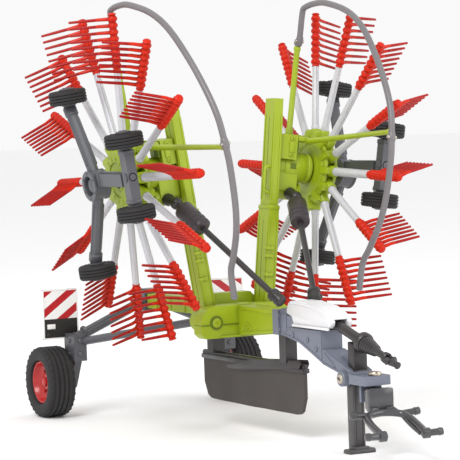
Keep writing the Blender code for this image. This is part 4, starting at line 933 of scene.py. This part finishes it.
# ---------------------------------------------------------------- CAD nodes that stay

def soften_node(node, mat, width):
    obj = frame["nodes"][node]
    obj.data.materials.clear()
    obj.data.materials.append(mat)
    bevel = obj.modifiers.new("edge", "BEVEL")
    bevel.width = width * MM
    bevel.segments = 2
    bevel.limit_method = "ANGLE"
    bevel.angle_limit = math.radians(40)
    bevel.harden_normals = True


def kept_nodes():
    soften_node("main_frame", LIME, 0.35)
    soften_node("drawbar", BLUE_GREY, 0.3)
    soften_node("rear_axle", GREY, 0.3)
    soften_node("curtain_front_post", BLACK, 0.3)
    soften_node("curtain_rear_post", BLACK, 0.3)
    for name in SIDES:
        soften_node(name + "_boom_bar", LIME, 0.3)
        soften_node(name + "_boom_sleeve", LIME, 0.3)
        soften_node(name + "_gearbox", LIME, 0.35)
        soften_node(name + "_bogie_frame", GREY, 0.25)
        soften_node(name + "_bogie_beam", GREY, 0.25)


# ---------------------------------------------------------------- camera and studio

def add_camera():
    place = Vector(CAMERA_PLACE) + Vector((0, SHIFT, 0))
    back = Vector(CAMERA_BACK).normalized()
    right = Vector(CAMERA_RIGHT).normalized()
    up = back.cross(right).normalized()
    right = up.cross(back).normalized()
    cam = bpy.data.objects.new("camera", bpy.data.cameras.new("camera"))
    cam.matrix_world = Matrix.Translation(place) @ Matrix((right, up, back)).transposed().to_4x4()
    cam.data.sensor_width = SENSOR_MM
    cam.data.lens = SENSOR_MM * FOCAL_PIXELS / IMAGE_PIXELS
    cam.data.clip_start = 0.01
    bpy.context.scene.collection.objects.link(cam)
    bpy.context.scene.camera = cam


def add_light(name, place, target, size, power):
    lamp = bpy.data.lights.new(name, "AREA")
    lamp.size = size
    lamp.energy = power
    obj = bpy.data.objects.new(name, lamp)
    obj.location = place
    obj.rotation_euler = (Vector(target) - Vector(place)).to_track_quat("-Z", "Y").to_euler()
    bpy.context.scene.collection.objects.link(obj)


def add_studio():
    bpy.ops.mesh.primitive_plane_add(size=12.0)
    floor = bpy.context.object
    floor.name = "floor"
    mat = bpy.data.materials.new("floor")
    mat.use_nodes = True
    shader = mat.node_tree.nodes["Principled BSDF"]
    shader.inputs["Base Color"].default_value = (0.95, 0.95, 0.95, 1)
    shader.inputs["Roughness"].default_value = 0.9
    shader.inputs["Specular IOR Level"].default_value = 0.1
    floor.data.materials.append(mat)
    world = bpy.data.worlds.new("studio")
    world.use_nodes = True
    world.node_tree.nodes["Background"].inputs["Color"].default_value = (1, 1, 1, 1)
    world.node_tree.nodes["Background"].inputs["Strength"].default_value = 0.95
    bpy.context.scene.world = world
    bpy.context.scene.view_settings.view_transform = "Standard"
    add_light("key", (-0.55, -0.45, 0.75), (0, 0, 0.06), 0.4, 5.0)
    add_light("fill", (0.5, -0.6, 0.35), (0, 0, 0.06), 0.5, 1.6)


WARNING = warning_look()
add_camera()
add_studio()
kept_nodes()
for rotor, way in SIDES.items():
    rotor_arms(rotor, way)
    rotor_rakes(rotor, way)
    rotor_head(rotor, way)
    gearbox_details(rotor, way)
    shaft_ends(rotor, way)
    boom_details(rotor, way)
    hoop_and_bracket(rotor, way)
    bogie_wheels(rotor, way)
    bogie_details(rotor, way)
    rear_wheel(rotor, way)
axle_details()
panel_details()
frame_details()
cover()
input_shaft()
drawbar_details()
hitch_fork()
stand()
curtain()
